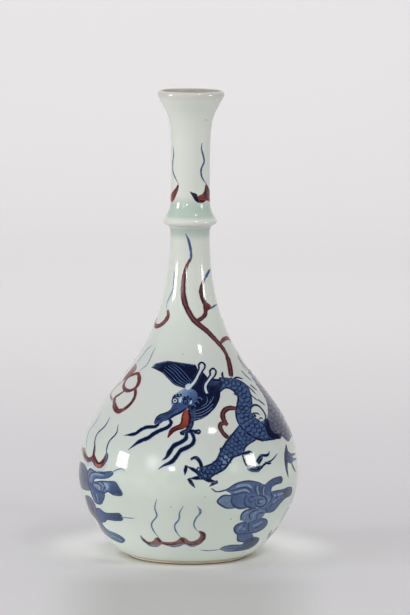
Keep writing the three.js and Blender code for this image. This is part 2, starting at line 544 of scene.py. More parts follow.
class Painting:
    """One motif's strokes and washes in one pigment, gathered into one piece."""

    def __init__(self, name, material):
        self.name, self.material = name, material
        self.strokes = self.washes = 0
        self.bm = bmesh.new()
        self.load = self.bm.verts.layers.float.new("load")
        self.lift = self.bm.verts.layers.float.new("lift")

    def dot(self, spot, lift, load):
        """A point of the film, how high it will lie and how much pigment it holds."""
        vert = self.bm.verts.new(spot)
        vert[self.lift], vert[self.load] = lift, load
        return vert

    def line(
        self,
        points,
        width,
        load=0.95,
        edge=0.2,
        core=None,
        tip=0.4,
        tail=0.3,
        lift=0.1,
        taper=4,
        closed=False,
    ):
        """A brush line through pixels of the photo; width and lift in millimetres."""
        self.strokes += 1
        lift += STROKE_LIFT * self.strokes
        path = [on_vase(*p) for p in smooth_path(points, LINE_SPACING, closed)]
        count = len(path)
        middle = load if core is None else core
        section = [(-1, edge), (-0.6, load), (0, middle), (0.6, load), (1, edge)]
        if width < HAIRLINE:
            section = [(-1, edge), (0, load), (1, edge)]
        rows = []
        for i, spot in enumerate(path):
            t = i / max(1, count - 1)
            swell = min(1, tip + 4 * t * (1 - tip), tail + taper * (1 - t) * (1 - tail))
            if closed:
                swell, along = 1, path[(i + 1) % count] - path[i - 1]
            else:
                along = path[min(i + 1, count - 1)] - path[max(i - 1, 0)]
            half = width * MM * HALF_WIDTH * swell * (1 + 0.2 * noise.noise(spot * WAVER_SCALE))
            side = surface.find_nearest(spot)[1].cross(along).normalized()
            heavy = (0.98 + 0.08 * noise.noise(spot * HEAP_SCALE)) * (0.7 + 0.3 * swell)
            rows.append([self.dot(spot + side * half * s, lift, heavy * dose) for s, dose in section])
        if closed:
            rows.append(rows[0])
        for a, b in zip(rows, rows[1:]):
            for k in range(len(section) - 1):
                self.bm.faces.new((a[k], a[k + 1], b[k + 1], b[k]))

    def lines(self, strokes, **brush):
        """Several strokes, each given as its width and its points."""
        for width, points in strokes.values():
            self.line(points, width, **brush)

    def wash(self, outline, load=0.5, run=None, lift=0.03, patchy=0.08):
        """A patch inside an outline of pixels; with a run it changes from its first load to its
        second between two pixels."""
        self.washes += 1
        lift += WASH_LIFT * self.washes
        rim = smooth_path(outline, RIM_SPACING, closed=True)
        spots = list(rim)
        step = WASH_SPACING
        y = min(p.y for p in rim) + step / 2
        while y < max(p.y for p in rim):
            x = min(p.x for p in rim) + step / 2
            while x < max(p.x for p in rim):
                if min((Vector((x, y)) - p).length for p in rim) > step / 2:
                    spots.append(Vector((x, y)))
                x += step
            y += step
        loop = [(i, (i + 1) % len(rim)) for i in range(len(rim))]
        flat, _, faces, _, _, _ = delaunay_2d_cdt(spots, loop, [], 1, 1e-4)
        verts = []
        for p in flat:
            dose = load
            if run:
                start, end = Vector(run[0]), Vector(run[1])
                share = (p - start).dot(end - start) / (end - start).length_squared
                dose = load[0] + (load[1] - load[0]) * min(1, max(0, share))
            spot = on_vase(p.x, p.y)
            dose *= 1 + patchy * noise.noise(spot * PATCH_SCALE)
            verts.append(self.dot(spot, lift, dose))
        for face in faces:
            if len(set(face)) > 2:
                self.bm.faces.new([verts[i] for i in face])

    def patches(self, washes, **brush):
        """Several washes, each given as its outline, its load and, where it has one, its run."""
        for patch in washes.values():
            self.wash(*patch, **brush)

    def disc(self, centre, radius, load, lift=0.12):
        """A round touch of the brush; its radius in pixels."""
        rim = []
        for k in range(DISC_CORNERS):
            turn = math.tau * k / DISC_CORNERS
            rim.append((centre[0] + radius * math.cos(turn), centre[1] + radius * math.sin(turn)))
        self.wash(rim, load, lift=lift, patchy=0)

    def fan(self, guides, count, width, start=0.0, **brush):
        """Hairs spread evenly between guide lines that all have as many points."""
        for k in range(count):
            share = (start + (1 - start) * k / (count - 1)) * (len(guides) - 1)
            low = min(int(share), len(guides) - 2)
            pairs = zip(guides[low], guides[low + 1])
            self.line([Vector(a).lerp(Vector(b), share - low) for a, b in pairs], width, **brush)

    def scales(self, outline, guide, size, width, margin=0.9, **brush):
        """Rows of small arcs, like fish scales, across a guide line and inside an outline."""
        rim = smooth_path(outline, RIM_SPACING, closed=True)
        path = smooth_path(guide, size * 0.8)
        for row, spot in enumerate(path[:-1]):
            ahead = (path[row + 1] - path[max(row - 1, 0)]).normalized()
            beside = Vector((-ahead.y, ahead.x))
            for column in range(-SCALE_COLUMNS, SCALE_COLUMNS + 1):
                middle = spot + beside * (column + 0.5 * (row % 2)) * size
                if not inside(middle, rim) or min((middle - p).length for p in rim) < margin:
                    continue
                arc = []
                for k in range(SCALE_POINTS):
                    swing = math.pi * (k / (SCALE_POINTS - 1) - 0.5)
                    spread = ahead * math.cos(swing) * SCALE_DEPTH + beside * math.sin(swing) * 0.5
                    arc.append(middle + spread * size)
                self.line(arc, width, tip=0.8, tail=0.8, **brush)

    def finish(self, turn=0.0):
        """Settles the film on the body, gives it its thickness and makes it a piece."""
        for _ in range(3):
            long = [e for e in self.bm.edges if e.calc_length() > LONGEST_EDGE]
            if long:
                bmesh.ops.subdivide_edges(self.bm, edges=long, cuts=1)
        bmesh.ops.triangulate(self.bm, faces=[f for f in self.bm.faces if len(f.verts) > 4])
        for vert in self.bm.verts:
            spot, normal, _, _ = surface.find_nearest(vert.co)
            vert.co = spot + normal * vert[self.lift] * MM
        for face in self.bm.faces:
            face.normal_update()
            if face.normal.dot(surface.find_nearest(face.calc_center_median())[1]) < 0:
                face.normal_flip()
        bmesh.ops.solidify(self.bm, geom=self.bm.faces, thickness=FILM)
        bmesh.ops.rotate(self.bm, verts=self.bm.verts, matrix=Matrix.Rotation(turn, 3, "Z"))
        for face in self.bm.faces:
            face.smooth = True
        for edge in self.bm.edges:
            edge.smooth = edge.calc_face_angle(0) < CREASE
        piece = piece_from(self.bm, self.name)
        piece.data.materials.append(self.material)
        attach(piece, "root")


underglaze, colour_in, colour_out = new_group(
    "underglaze_colour",
    [
        ("Place", "Vector"),
        ("Load", "Float"),
        ("Bare", "Color"),
        ("Thin", "Color"),
        ("Middle", "Color"),
        ("Full", "Color"),
    ],
    [("Colour", "Color")],
)
heap = node(underglaze, "ShaderNodeTexNoise", Scale=620.0, Detail=3.0)
underglaze.links.new(colour_in.outputs["Place"], heap.inputs["Vector"])
spread = node(underglaze, "ShaderNodeMapRange", From_Min=0.3, From_Max=0.7)
spread.inputs["To Min"].default_value = 0.93
spread.inputs["To Max"].default_value = 1.07
underglaze.links.new(heap.outputs["Fac"], spread.inputs["Value"])
amount = product(underglaze, colour_in.outputs["Load"], spread.outputs[0])
stop = colour_in.outputs["Bare"]
for label, low, high in (("Thin", 0.02, 0.22), ("Middle", 0.22, 0.55), ("Full", 0.55, 0.9)):
    step = node(underglaze, "ShaderNodeMapRange", From_Min=low, From_Max=high)
    underglaze.links.new(amount, step.inputs["Value"])
    stop = mix_colour(underglaze, step.outputs[0], stop, colour_in.outputs[label])
underglaze.links.new(stop, colour_out.inputs["Colour"])


def pigment(name, thin, middle, full):
    """Underglaze colour, from bare glaze where the load is nought to full where it heaped."""
    material, tree, shader = new_material(name, 0.08)
    tone, place = glaze_over(tree, shader)
    load = tree.nodes.new("ShaderNodeAttribute")
    load.attribute_name = "load"
    colour = tree.nodes.new("ShaderNodeGroup")
    colour.node_tree = underglaze
    tree.links.new(place, colour.inputs["Place"])
    tree.links.new(load.outputs["Fac"], colour.inputs["Load"])
    tree.links.new(tone, colour.inputs["Bare"])
    for label, value in (("Thin", thin), ("Middle", middle), ("Full", full)):
        colour.inputs[label].default_value = value
    tree.links.new(colour.outputs[0], shader.inputs["Base Color"])
    return material


cobalt = pigment("cobalt_blue", srgb(160, 180, 196), srgb(70, 94, 136), srgb(11, 18, 48))
grey_cobalt = pigment("cobalt_grey", srgb(178, 178, 190), srgb(104, 106, 128), srgb(36, 37, 58))
copper = pigment("copper_red", srgb(192, 156, 146), srgb(150, 66, 54), srgb(46, 24, 32))
maroon = pigment("copper_maroon", srgb(184, 160, 162), srgb(118, 70, 72), srgb(40, 22, 30))
iron = pigment("iron_specks", srgb(186, 186, 172), srgb(140, 134, 116), srgb(92, 84, 68))


# Upper neck flames
# A flame left and right of the middle: a thin wavering blue line that ends in a copper red curl.
# The red covers the blue's end and is nearly black where it heaped.

UPPER_FLAMES_BLUE = {
    "left_tongue": (0.6, [
        (173, 146.5), (173.8, 154), (172.8, 163), (173.2, 172), (175.5, 178), (178.5, 184),
    ]),
    "right_tongue": (0.75, [
        (202, 143), (201.5, 149), (203.5, 157), (204, 162), (201.5, 168), (201, 173), (202.5, 178.5),
        (206.8, 184.5),
    ]),
}
UPPER_FLAME_HOOK = [
    (189.8, 191.4), (192.8, 192.6), (196.2, 193.6), (197.6, 196), (198.2, 199), (200.4, 201),
    (203, 202.4), (198.6, 202.8), (195, 200.6), (192.8, 197), (191, 194),
]
UPPER_FLAME_LEFT_RED = [
    (178.2, 184), (178.4, 189), (176.7, 194), (174.2, 199.4), (171.8, 202.6), (170.9, 199),
    (171.2, 194.6), (173.2, 190.8), (175.6, 188.2),
]
UPPER_FLAME_RIGHT_RED = [
    (205.6, 184.4), (208.4, 187.6), (209.8, 191), (210.4, 196), (210.2, 201.6), (207, 200.4),
    (204.6, 201), (201.4, 202.2), (198.6, 200.8), (197.2, 197.4), (198.8, 195.4), (201.8, 194.4),
    (204, 191.6), (204.8, 188),
]
UPPER_FLAME_DARK = {
    "left_top": (1.0, [(178.2, 184.6), (177.4, 188), (174.6, 192)]),
    "right_top": (1.1, [(205.8, 184.6), (207.6, 188.6), (208.4, 192)]),
    "right_side": (2.2, [(207.6, 190), (209, 194), (209.8, 201)]),
    "right_foot": (0.9, [(198.4, 199.6), (202, 201.4), (206, 199.6)]),
}
UPPER_FLAME_HOOK_RUN = ((190, 192), (196, 198))
UPPER_FLAME_WASHES = {
    "left_flame": (UPPER_FLAME_LEFT_RED, (0.66, 0.82), ((171, 202), (178, 187))),
    "right_flame": (UPPER_FLAME_RIGHT_RED, (0.66, 0.92), ((199, 199), (208, 190))),
}


def paint_upper_flames(place, turn):
    blue = Painting("upper_flames_blue_" + place, cobalt)
    blue.lines(UPPER_FLAMES_BLUE, load=0.66)
    blue.wash(UPPER_FLAME_HOOK, (0.78, 0.95), UPPER_FLAME_HOOK_RUN, lift=0.08)
    blue.finish(turn)
    red = Painting("upper_flames_red_" + place, copper)
    red.patches(UPPER_FLAME_WASHES)
    red.lines(UPPER_FLAME_DARK, load=0.92, edge=0.4)
    red.finish(turn)


paint_upper_flames("front", 0)
paint_upper_flames("back", math.pi)


# Lower neck flames
# A long flame ribbon that wanders down the neck to the dragon's back, with a looped branch, and a
# smaller flame to its left.

LOWER_FLAMES_BLUE = {
    "tip": (0.95, [
        (185.5, 233.6), (188.4, 239.9), (190, 246.3), (191, 252.7), (191, 258.6), (189.8, 262.6),
    ]),
    "branch_tip": (1.2, [(210.2, 269), (207.6, 273.4), (204.8, 278.8)]),
    "knob_tip": (0.7, [(208, 309.4), (211, 308), (214.4, 305.8), (217, 304.2)]),
}
SMALL_TONGUE = [
    (174.4, 270.9), (173.8, 280.5), (173.1, 289), (169.9, 296.5), (167.2, 302.9), (166.6, 309.6),
]
LONG_RIBBON = [
    (190.4, 258.6), (186.9, 265.6), (184.5, 273.6), (183.3, 283.5), (183.2, 294), (185.2, 303.9),
    (189, 312.4), (193.4, 319.4), (199.6, 325.2), (206.2, 330.4), (212.4, 336.6), (218, 342.6),
    (223.2, 349), (227.4, 357), (230, 365.6), (230.8, 376.6),
]
RIBBON_END = [(225.6, 353), (228.6, 361), (230.4, 370), (230.8, 376)]
BRANCH_RIBBON = [
    (205, 278.4), (202.2, 284), (200.9, 290), (201.5, 295.4), (204, 302), (205.9, 308.4), (205, 314.6),
    (200.8, 319), (195.4, 321.4),
]
BRANCH_THICK = [(201.3, 294), (203.6, 300.6), (205.8, 306.8), (205.2, 313.6)]
SMALL_CURL = [
    (167.6, 310), (168.2, 315.6), (165.2, 321), (160.4, 325.2), (156.2, 326.2), (155, 323),
    (157, 318.6),
]
KNOB = [(205.6, 302.6), (208.6, 303.6), (210.8, 306), (209.6, 309.4), (206.4, 310.6), (204.8, 307)]
BACK_LOOP = [(219.8, 344.4), (222.6, 340.4), (226, 338.2), (229, 338.8), (230.6, 342)]
KNOB_RUN = ((206, 308), (209, 304))


def paint_lower_flames(place, turn):
    blue = Painting("lower_flames_blue_" + place, cobalt)
    blue.lines(LOWER_FLAMES_BLUE, load=0.6)
    blue.line(SMALL_TONGUE, 0.6, load=0.34)
    blue.finish(turn)
    red = Painting("lower_flames_red_" + place, maroon)
    red.line(BRANCH_RIBBON, 1.45, load=0.9, core=0.68, edge=0.6, tip=0.5, tail=0.9)
    red.line(BRANCH_THICK, 1.8, load=0.92, core=0.78, edge=0.6, tip=0.5, tail=0.6, lift=0.11)
    red.line(LONG_RIBBON, 1.8, load=0.86, core=0.6, edge=0.7, tip=0.4, tail=0.8, lift=0.12)
    red.line(RIBBON_END, 2.2, load=0.94, core=0.68, edge=0.6, tip=0.3, tail=0.8, lift=0.13)
    red.line(BACK_LOOP, 1.5, load=0.6, edge=0.4)
    red.line(SMALL_CURL, 1.6, load=0.7, core=0.5, edge=0.45, tip=0.6)
    red.finish(turn)
    knob = Painting("lower_flames_knob_" + place, copper)
    knob.wash(KNOB, (0.85, 0.6), KNOB_RUN, lift=0.12)
    knob.finish(turn)


paint_lower_flames("front", 0)
paint_lower_flames("back", math.pi)


# Looped flame
# At the left of the shoulder: two thin blue lines that swell into a pair of linked copper rings.
# The copper fired to a brownish maroon, palest on the little tongue above them.

LOOPED_FLAME_BLUE = {
    "upper_line": (0.4, [(151.8, 345.3), (146.6, 350.1), (140.8, 357.8), (136.4, 363.5)]),
    "lower_line": (0.4, [(155.6, 347.2), (152.3, 353.9), (148, 363.5), (143.7, 367.6), (139.4, 371.4)]),
}
UPPER_RING = [
    (138.2, 373.8), (139.6, 379.6), (137.6, 385.6), (133.4, 389.4), (128.6, 390.9), (124.8, 389.2),
    (123.7, 385.3), (125.6, 380.6), (129.2, 376.6), (133.8, 374.4),
]
RING_RIGHT = [(138.4, 373.4), (139.4, 379.6), (137.6, 385.4), (134.4, 389)]
LOWER_RING = [
    (124.4, 391), (119.2, 394.7), (114.9, 398), (114.3, 404.2), (115.4, 408.2), (118, 411.7),
    (122.4, 410.3), (128.6, 405.8), (133.2, 400.3), (135.4, 394.7), (135.4, 388.6),
]
RING_FOOT = [(114.4, 400), (114.6, 406), (117.6, 411), (121.4, 410.6), (125, 408.4)]
RING_TONGUE = [
    (136, 363.3), (136.8, 367.6), (134.8, 371.4), (130, 375.2), (125.6, 379), (122.2, 381.6),
    (125, 376.6), (130.4, 369.8), (133.4, 366),
]
RING_EDGE = [(122.6, 381.4), (116.6, 386.4), (112.2, 391.4), (110.6, 395.4), (112.4, 400)]
RING_TONGUE_RUN = ((136, 364), (123, 382))
LOOPED_FLAME_BACK_TURN = -95


def paint_looped_flame(place, turn):
    blue = Painting("looped_flame_blue_" + place, cobalt)
    blue.lines(LOOPED_FLAME_BLUE, load=0.72)
    blue.finish(turn)
    red = Painting("looped_flame_red_" + place, maroon)
    red.wash(RING_TONGUE, (0.4, 0.66), RING_TONGUE_RUN)
    red.line(RING_EDGE, 0.8, load=0.5, tip=0.6, tail=1)
    red.line(UPPER_RING, 1.35, load=0.76, core=0.68, edge=0.36, closed=True)
    red.line(LOWER_RING, 1.45, load=0.86, core=0.8, edge=0.36, tip=0.6, tail=0.8, lift=0.11)
    red.line(RING_RIGHT, 1.6, load=0.84, core=0.62, edge=0.4, tip=0.6, tail=0.5, lift=0.12)
    red.line(RING_FOOT, 1.9, load=0.84, core=0.62, edge=0.4, lift=0.12)
    red.finish(turn)


paint_looped_flame("front", 0)
paint_looped_flame("back", math.radians(LOOPED_FLAME_BACK_TURN))


# Side flame
# At the left of the belly: three blue lines that rise from a scalloped copper red foot, brightest
# in its middle.

SIDE_FLAME_BLUE = {
    "left_line": (0.45, [(101.1, 411.8), (95.8, 421.9), (89.1, 431.4), (87.2, 438.1), (86, 450)]),
    "middle_line": (0.7, [(110.2, 417.1), (105.4, 425.7), (97.8, 433.3), (95, 441), (94.6, 453)]),
    "right_line": (0.65, [(118.3, 424.7), (116.4, 433.3), (109.6, 441), (106.8, 448.7), (106.6, 456)]),
}
SIDE_FLAME_FOOT = [
    (81.6, 447.7), (82.6, 454), (85, 459.6), (87.5, 463.1), (91, 461.7), (93.8, 465.9), (98, 468.8),
    (102.3, 467.3), (105.8, 463.1), (108.2, 458.2), (106.5, 452.6), (103.7, 457.5), (100.2, 461.7),
    (97.4, 462.4), (95.2, 458.9), (94.2, 451.9), (91.7, 456.1), (88.2, 456.8), (86.1, 452.6),
    (84.7, 447.7),
]
SIDE_FLAME_CORE = {
    "left_core": (0.9, [(83.6, 450), (85.4, 456), (88.4, 459.4), (91.4, 458.8), (93.4, 454)]),
    "right_core": (1.0, [(94.6, 455), (96.4, 461), (99, 464), (103, 461.6), (106, 457)]),
}
SIDE_FLAME_BAND = [
    (82.4, 455), (85, 461.8), (88, 464.8), (91.6, 463.6), (94.2, 467.6), (98.4, 470.4), (103.4, 468.8),
    (107, 463.6),
]
SIDE_FLAME_GLOW = [(95.6, 463), (98.4, 464.4), (101.4, 464), (101, 466.6), (98.4, 467.6), (96, 466)]
SIDE_FLAME_PEAK = [(95, 443), (94.4, 450), (93.6, 457), (95.4, 462)]
SIDE_FLAME_EDGE = [(106.8, 452), (107.6, 457), (105, 463.6)]
SIDE_FLAME_RUN = ((84, 448), (100, 464))
SIDE_FLAME_BACK_TURN = -72


def paint_side_flame(place, turn):
    blue = Painting("side_flame_blue_" + place, cobalt)
    blue.lines(SIDE_FLAME_BLUE, load=0.8)
    blue.line(SIDE_FLAME_BAND, 1.3, load=0.15, edge=0.06)
    blue.line(SIDE_FLAME_EDGE, 0.9, load=0.7, edge=0.1)
    blue.finish(turn)
    red = Painting("side_flame_red_" + place, maroon)
    red.wash(SIDE_FLAME_FOOT, (0.4, 0.6), SIDE_FLAME_RUN)
    red.line(SIDE_FLAME_PEAK, 1.3, load=0.8, edge=0.45, tip=0.3)
    red.lines(SIDE_FLAME_CORE, load=0.85, edge=0.5)
    red.finish(turn)
    glow = Painting("side_flame_glow_" + place, copper)
    glow.wash(SIDE_FLAME_GLOW, 0.46, lift=0.125)
    glow.finish(turn)


paint_side_flame("front", 0)
paint_side_flame("back", math.radians(SIDE_FLAME_BACK_TURN))


# Bottom flame
# Low on the front: three thin wavering blue lines on a scalloped copper red foot edged in blue.
# It comes again on the right side and at the back.

BOTTOM_FLAME_BLUE = {
    "left_line": (0.6, [
        (156.6, 499.2), (154.8, 507.7), (156.8, 515.7), (152.3, 522), (151.7, 526.4), (154.8, 532.7),
        (159.3, 538),
    ]),
    "middle_line": (0.6, [
        (183.4, 505.9), (179.8, 512.1), (178.9, 519.3), (174.9, 524.6), (175.4, 530), (178.9, 535.4),
        (182.5, 538.5),
    ]),
    "right_line": (0.6, [
        (197, 505.9), (200.8, 512.1), (196.4, 517.5), (193.8, 523.8), (195.2, 528.2), (198.4, 531.6),
    ]),
    "right_knot": (1.0, [(198.4, 507.6), (200.6, 511.4), (198.4, 515.2)]),
    "left_hook": (1.2, [(140.6, 535.4), (144, 540.6), (149, 543.2)]),
    "left_edge": (0.9, [(145.5, 542.6), (150.4, 545.4), (156.2, 546), (160.6, 544.8)]),
    "middle_edge": (0.9, [(168, 545.6), (174, 546.4), (180, 545.2), (184.5, 543.8)]),
    "right_edge": (0.8, [(187, 544.8), (192.4, 546), (197.5, 545.2)]),
}
BOTTOM_FLAME_FOOT = [
    (142.5, 537.5), (145.9, 540.5), (150, 541.8), (153.5, 540.5), (155.9, 537.4), (159.5, 538.4),
    (162.9, 541.5), (170, 542), (176.3, 541), (180.9, 537.2), (185.2, 538), (189.6, 541), (194, 541),
    (198.5, 538.5), (200.3, 534.8), (198.2, 531.4), (201.5, 531), (204.6, 533.6), (205.4, 537.1),
    (202.3, 542.5), (197, 545.4), (190.5, 546), (184.5, 544.3), (177.1, 546.4), (170, 546.4),
    (162, 544.3), (155.7, 546.1), (150.4, 545.6), (145.9, 543),
]
BOTTOM_FLAME_CORE = {
    "left_swell": (1.3, [(156.6, 537.6), (158.6, 539.4), (160.4, 542.6)]),
    "right_swell": (1.3, [(180.4, 537.6), (182.6, 540), (184.6, 543.4)]),
    "middle_bar": (0.8, [(162, 542.8), (170, 544.4), (178, 543.2)]),
    "right_bar": (0.6, [(186, 543.6), (192, 544.4), (198, 543)]),
    "right_curl": (1.3, [(199.4, 531.4), (203.2, 533.4), (204, 537.6), (200.6, 542)]),
    "left_tail": (0.9, [(142, 537.4), (146.4, 542), (152, 544.4)]),
}
BOTTOM_FLAME_SIDE_TURN = 95
BOTTOM_FLAME_BACK_TURN = 196


def paint_bottom_flame(place, turn):
    blue = Painting("bottom_flame_blue_" + place, cobalt)
    blue.lines(BOTTOM_FLAME_BLUE, load=0.52, edge=0.12)
    blue.finish(turn)
    red = Painting("bottom_flame_red_" + place, maroon)
    red.wash(BOTTOM_FLAME_FOOT, 0.5, lift=0.09)
    red.lines(BOTTOM_FLAME_CORE, load=0.82, edge=0.5, lift=0.12)
    red.finish(turn)


paint_bottom_flame("front", 0)
paint_bottom_flame("side", math.radians(BOTTOM_FLAME_SIDE_TURN))
paint_bottom_flame("back", math.radians(BOTTOM_FLAME_BACK_TURN))


# Left cloud
# A drifting cloud in mid cobalt wash with darker scalloped outlines and thin tails. Its left rim
# and its long lower strip are greyer than the rest.

LEFT_CLOUD_EDGE = [
    (80.5, 461.7), (84.7, 464.2), (88.2, 471.6), (89.5, 479.3), (90.6, 490), (82.6, 489.1),
    (79.8, 482.1), (78.8, 473.7), (79.5, 465.2),
]
LEFT_CLOUD_ARM = [
    (88.6, 470.2), (91, 468.8), (93.9, 470.9), (103, 472.3), (112.1, 471.9), (112.4, 474.4),
    (107.9, 477.5), (101.6, 478.2), (96, 477.9), (93.9, 480), (93.2, 484), (89.6, 484), (87.9, 476.6),
]
LEFT_CLOUD_LEAF = [
    (92.6, 482.8), (96.7, 482.1), (100.9, 481.4), (107.9, 481.7), (114.9, 482.1), (118.4, 487),
    (122.3, 494), (118.4, 495.4), (112.1, 494), (107.9, 491.2), (103.7, 493.3), (99.5, 491.9),
    (94.6, 488.4),
]
LEFT_CLOUD_LEAF_TIP = [
    (110.3, 482), (114.9, 482.3), (118.2, 487.2), (121.9, 493.8), (118.4, 495), (112.1, 493.7),
    (109.9, 491.6), (110.7, 487),
]
LEFT_CLOUD_STEM = [
    (88, 482), (93.4, 486), (98.4, 490.6), (103.4, 491.9), (104.6, 495.4), (103, 500.4), (100.9, 503.8),
    (96.7, 503.1), (93.9, 499.6), (91, 491.9),
]
LEFT_CLOUD_STRIP = [
    (85.4, 495.4), (90.3, 496.8), (94.6, 503.1), (96.6, 508.4), (98.6, 515.6), (101.6, 520.6),
    (103.7, 525.6), (109.3, 530.5), (117.7, 534), (124, 538.2), (125.1, 541), (121.9, 543.1),
    (115.6, 541), (108.6, 536.8), (101.6, 530.5), (96.7, 520.6), (91, 513.6), (86.8, 503.1),
]
LEFT_CLOUD_STRIP_END = [(107, 528.6), *LEFT_CLOUD_STRIP[7:13], (110, 537.8), (106.4, 533.4)]
LEFT_CLOUD_FINGER = [
    (96.3, 509.4), (99.5, 508.7), (105.1, 512.9), (112.1, 513.6), (119.1, 513.6), (122.2, 517.1),
    (121.9, 519.9), (114.9, 520.3), (107.2, 519.2), (105.1, 521.3), (100.9, 521.3), (98, 516),
]
LEFT_CLOUD_SHADE = {
    "outer": (1.0, [(82.6, 464), (82.2, 474), (84.6, 486)]),
    "inner": (0.8, [(85.6, 467), (86.6, 477), (87.6, 487)]),
    "strip": (0.9, [(87.4, 497), (91.4, 508), (97, 517.6), (103, 528)]),
}
LEFT_CLOUD_PALE = {
    "arm_band": (0.7, [(91, 481), (91.6, 476), (94.6, 473.9), (99, 474.4), (103.7, 475.1)]),
    "leaf_curve": (1.0, [(96.4, 484.6), (99.6, 486.4), (99.4, 490)]),
    "leaf_heart": (1.5, [(103.4, 483.6), (107.4, 485.6), (106.8, 489.4)]),
    "stem_side": (0.6, [(92.4, 490), (93.6, 496), (95.6, 501)]),
    "petal": (0.6, [(96.2, 493.6), (97.8, 498), (98, 502)]),
    "foot_glint": (0.9, [(112, 535.4), (118, 538.2), (122, 541)]),
}
LEFT_CLOUD_TAILS = {
    "arm_tail": (0.5, [(111.4, 472.6), (117.7, 469.5), (121.9, 468.8), (124.7, 470.9)]),
    "finger_tail": (0.5, [(121.2, 517), (128.2, 517.8), (135, 518.2)]),
}
LEFT_CLOUD_FINE = {
    "arm_fold": (0.5, [(89.6, 483), (89.8, 475), (93.4, 472.4), (103, 473.4), (110, 473)]),
    "leaf_fold": (0.55, [(94.6, 483.4), (98.6, 484), (101.6, 487.4), (99.6, 491.4)]),
    "second_fold": (0.6, [(100.6, 482), (104.4, 484.6), (104.6, 488), (102.4, 492.4)]),
    "third_fold": (0.45, [(94.6, 487), (91.6, 489), (94.4, 496.6), (97.4, 503)]),
    "petal_line": (0.5, [(98.1, 493.3), (99.4, 498), (98.8, 502.4)]),
    "petal_side": (0.5, [(94.6, 493.3), (96.4, 498), (96.7, 501.7)]),
    "strip_line": (0.5, [(82, 466), (84.4, 474), (86.4, 486)]),
    "strip_edge": (0.5, [(90, 500), (94, 511), (100, 522), (109, 532.4), (120, 539)]),
}
LEFT_CLOUD_RIM_WASHES = {
    "edge": (LEFT_CLOUD_EDGE, 0.62),
    "strip": (LEFT_CLOUD_STRIP, (0.65, 0.6), ((86, 496), (108, 532))),
}
LEFT_CLOUD_WASHES = {
    "arm": (LEFT_CLOUD_ARM, (0.48, 0.66), ((90, 472), (112, 474))),
    "stem": (LEFT_CLOUD_STEM, 0.63),
    "leaf": (LEFT_CLOUD_LEAF, (0.42, 0.54), ((96, 486), (110, 488))),
    "leaf_tip": (LEFT_CLOUD_LEAF_TIP, (0.66, 0.8), ((110, 488), (121, 493))),
    "finger": (LEFT_CLOUD_FINGER, (0.58, 0.8), ((97, 512), (121, 518))),
    "strip_end": (LEFT_CLOUD_STRIP_END, (0.5, 0.58), ((108, 532), (120, 540))),
}
LEFT_CLOUD_BACK_TURN = -68


def paint_left_cloud(place, turn):
    rim = Painting("left_cloud_rim_" + place, grey_cobalt)
    rim.patches(LEFT_CLOUD_RIM_WASHES)
    rim.lines(LEFT_CLOUD_SHADE, load=0.74, edge=0.55)
    rim.finish(turn)
    cloud = Painting("left_cloud_" + place, cobalt)
    cloud.patches(LEFT_CLOUD_WASHES)
    for outline in (LEFT_CLOUD_ARM, LEFT_CLOUD_STEM):
        cloud.line(outline, 0.55, load=0.74, edge=0.5, closed=True)
    for outline in (LEFT_CLOUD_LEAF, LEFT_CLOUD_FINGER):
        cloud.line(outline, 0.55, load=0.76, edge=0.5, closed=True)
    cloud.lines(LEFT_CLOUD_PALE, load=0.38, edge=0.5)
    cloud.lines(LEFT_CLOUD_FINE, load=0.82, edge=0.45)
    cloud.lines(LEFT_CLOUD_TAILS, load=0.46, edge=0.1)
    cloud.finish(turn)


paint_left_cloud("front", 0)
paint_left_cloud("back", math.radians(LEFT_CLOUD_BACK_TURN))


# Right cloud
# A larger cloud under the dragon's claws: scalloped lobes round a spiral, with two arms, a stem of
# smaller lobes and a long tail.

RIGHT_CLOUD_TOP = [
    (226, 490.8), (230.4, 487.4), (234.4, 484.7), (240.8, 482.2), (249, 480.9), (257.7, 482.2),
    (263, 484.4), (266.3, 484), (268.4, 488), (268.6, 494), (262, 497), (252.9, 496.6), (245.9, 496.8),
    (238, 497.6), (231.6, 496.6), (230.4, 493.4),
]
RIGHT_CLOUD_LOBES = [
    (217.5, 501.9), (219.8, 498), (224.2, 495.5), (231.3, 495.5), (240, 494.2), (250, 494), (262, 494),
    (270, 497), (270, 504), (264, 507), (255.5, 507.4), (247.2, 507.8), (239.5, 508.1), (234.4, 507.9),
    (226.8, 507.9), (221, 505.1),
]
RIGHT_CLOUD_TEAL_LOBE = [
    (217.7, 501.9), (220, 498.4), (224.4, 496), (230.6, 496), (231, 500.6), (233.4, 505.7),
    (233.6, 507.5), (226.8, 507.5), (221.4, 504.8),
]
RIGHT_CLOUD_UPPER_ARM = [
    (264.4, 492), (265.4, 485), (270.2, 480.8), (275.3, 478.3), (281, 477), (282.2, 478.9),
    (281.2, 482.1), (275.3, 484), (271.6, 487.2), (270.8, 492.4),
]
RIGHT_CLOUD_ARM = [
    (266.6, 496), (270.6, 492.4), (276.5, 491), (282.9, 489.8), (289.3, 487.5), (291.7, 488.7),
    (290.8, 494.2), (285.5, 497.4), (281, 501.9), (276.5, 507.6), (272.1, 511.5), (263.8, 512.7),
    (257.6, 508), (262, 503),
]
RIGHT_CLOUD_ARM_TIP = [
    (284, 489.6), (289.3, 487.7), (291.5, 488.9), (290.6, 494), (285.6, 497.2), (283.6, 494),
]
RIGHT_CLOUD_SECOND = [
    (240.8, 519.7), (241.5, 514.6), (245.3, 510.8), (251, 508.9), (257.4, 508.3), (265.6, 511),
    (264.6, 514), (260.6, 518.6), (254, 520.6), (246.6, 522),
]
RIGHT_CLOUD_THIRD = [
    (234.4, 529.3), (235.7, 525.5), (241.5, 522.9), (247.2, 522.4), (252, 521.4), (256.1, 519.7),
    (262.5, 518.8), (266.3, 520.4), (266.3, 524.2), (262.5, 528.7), (256.1, 531.9), (249.7, 532.7),
    (240.8, 533.8), (236.4, 533.1),
]
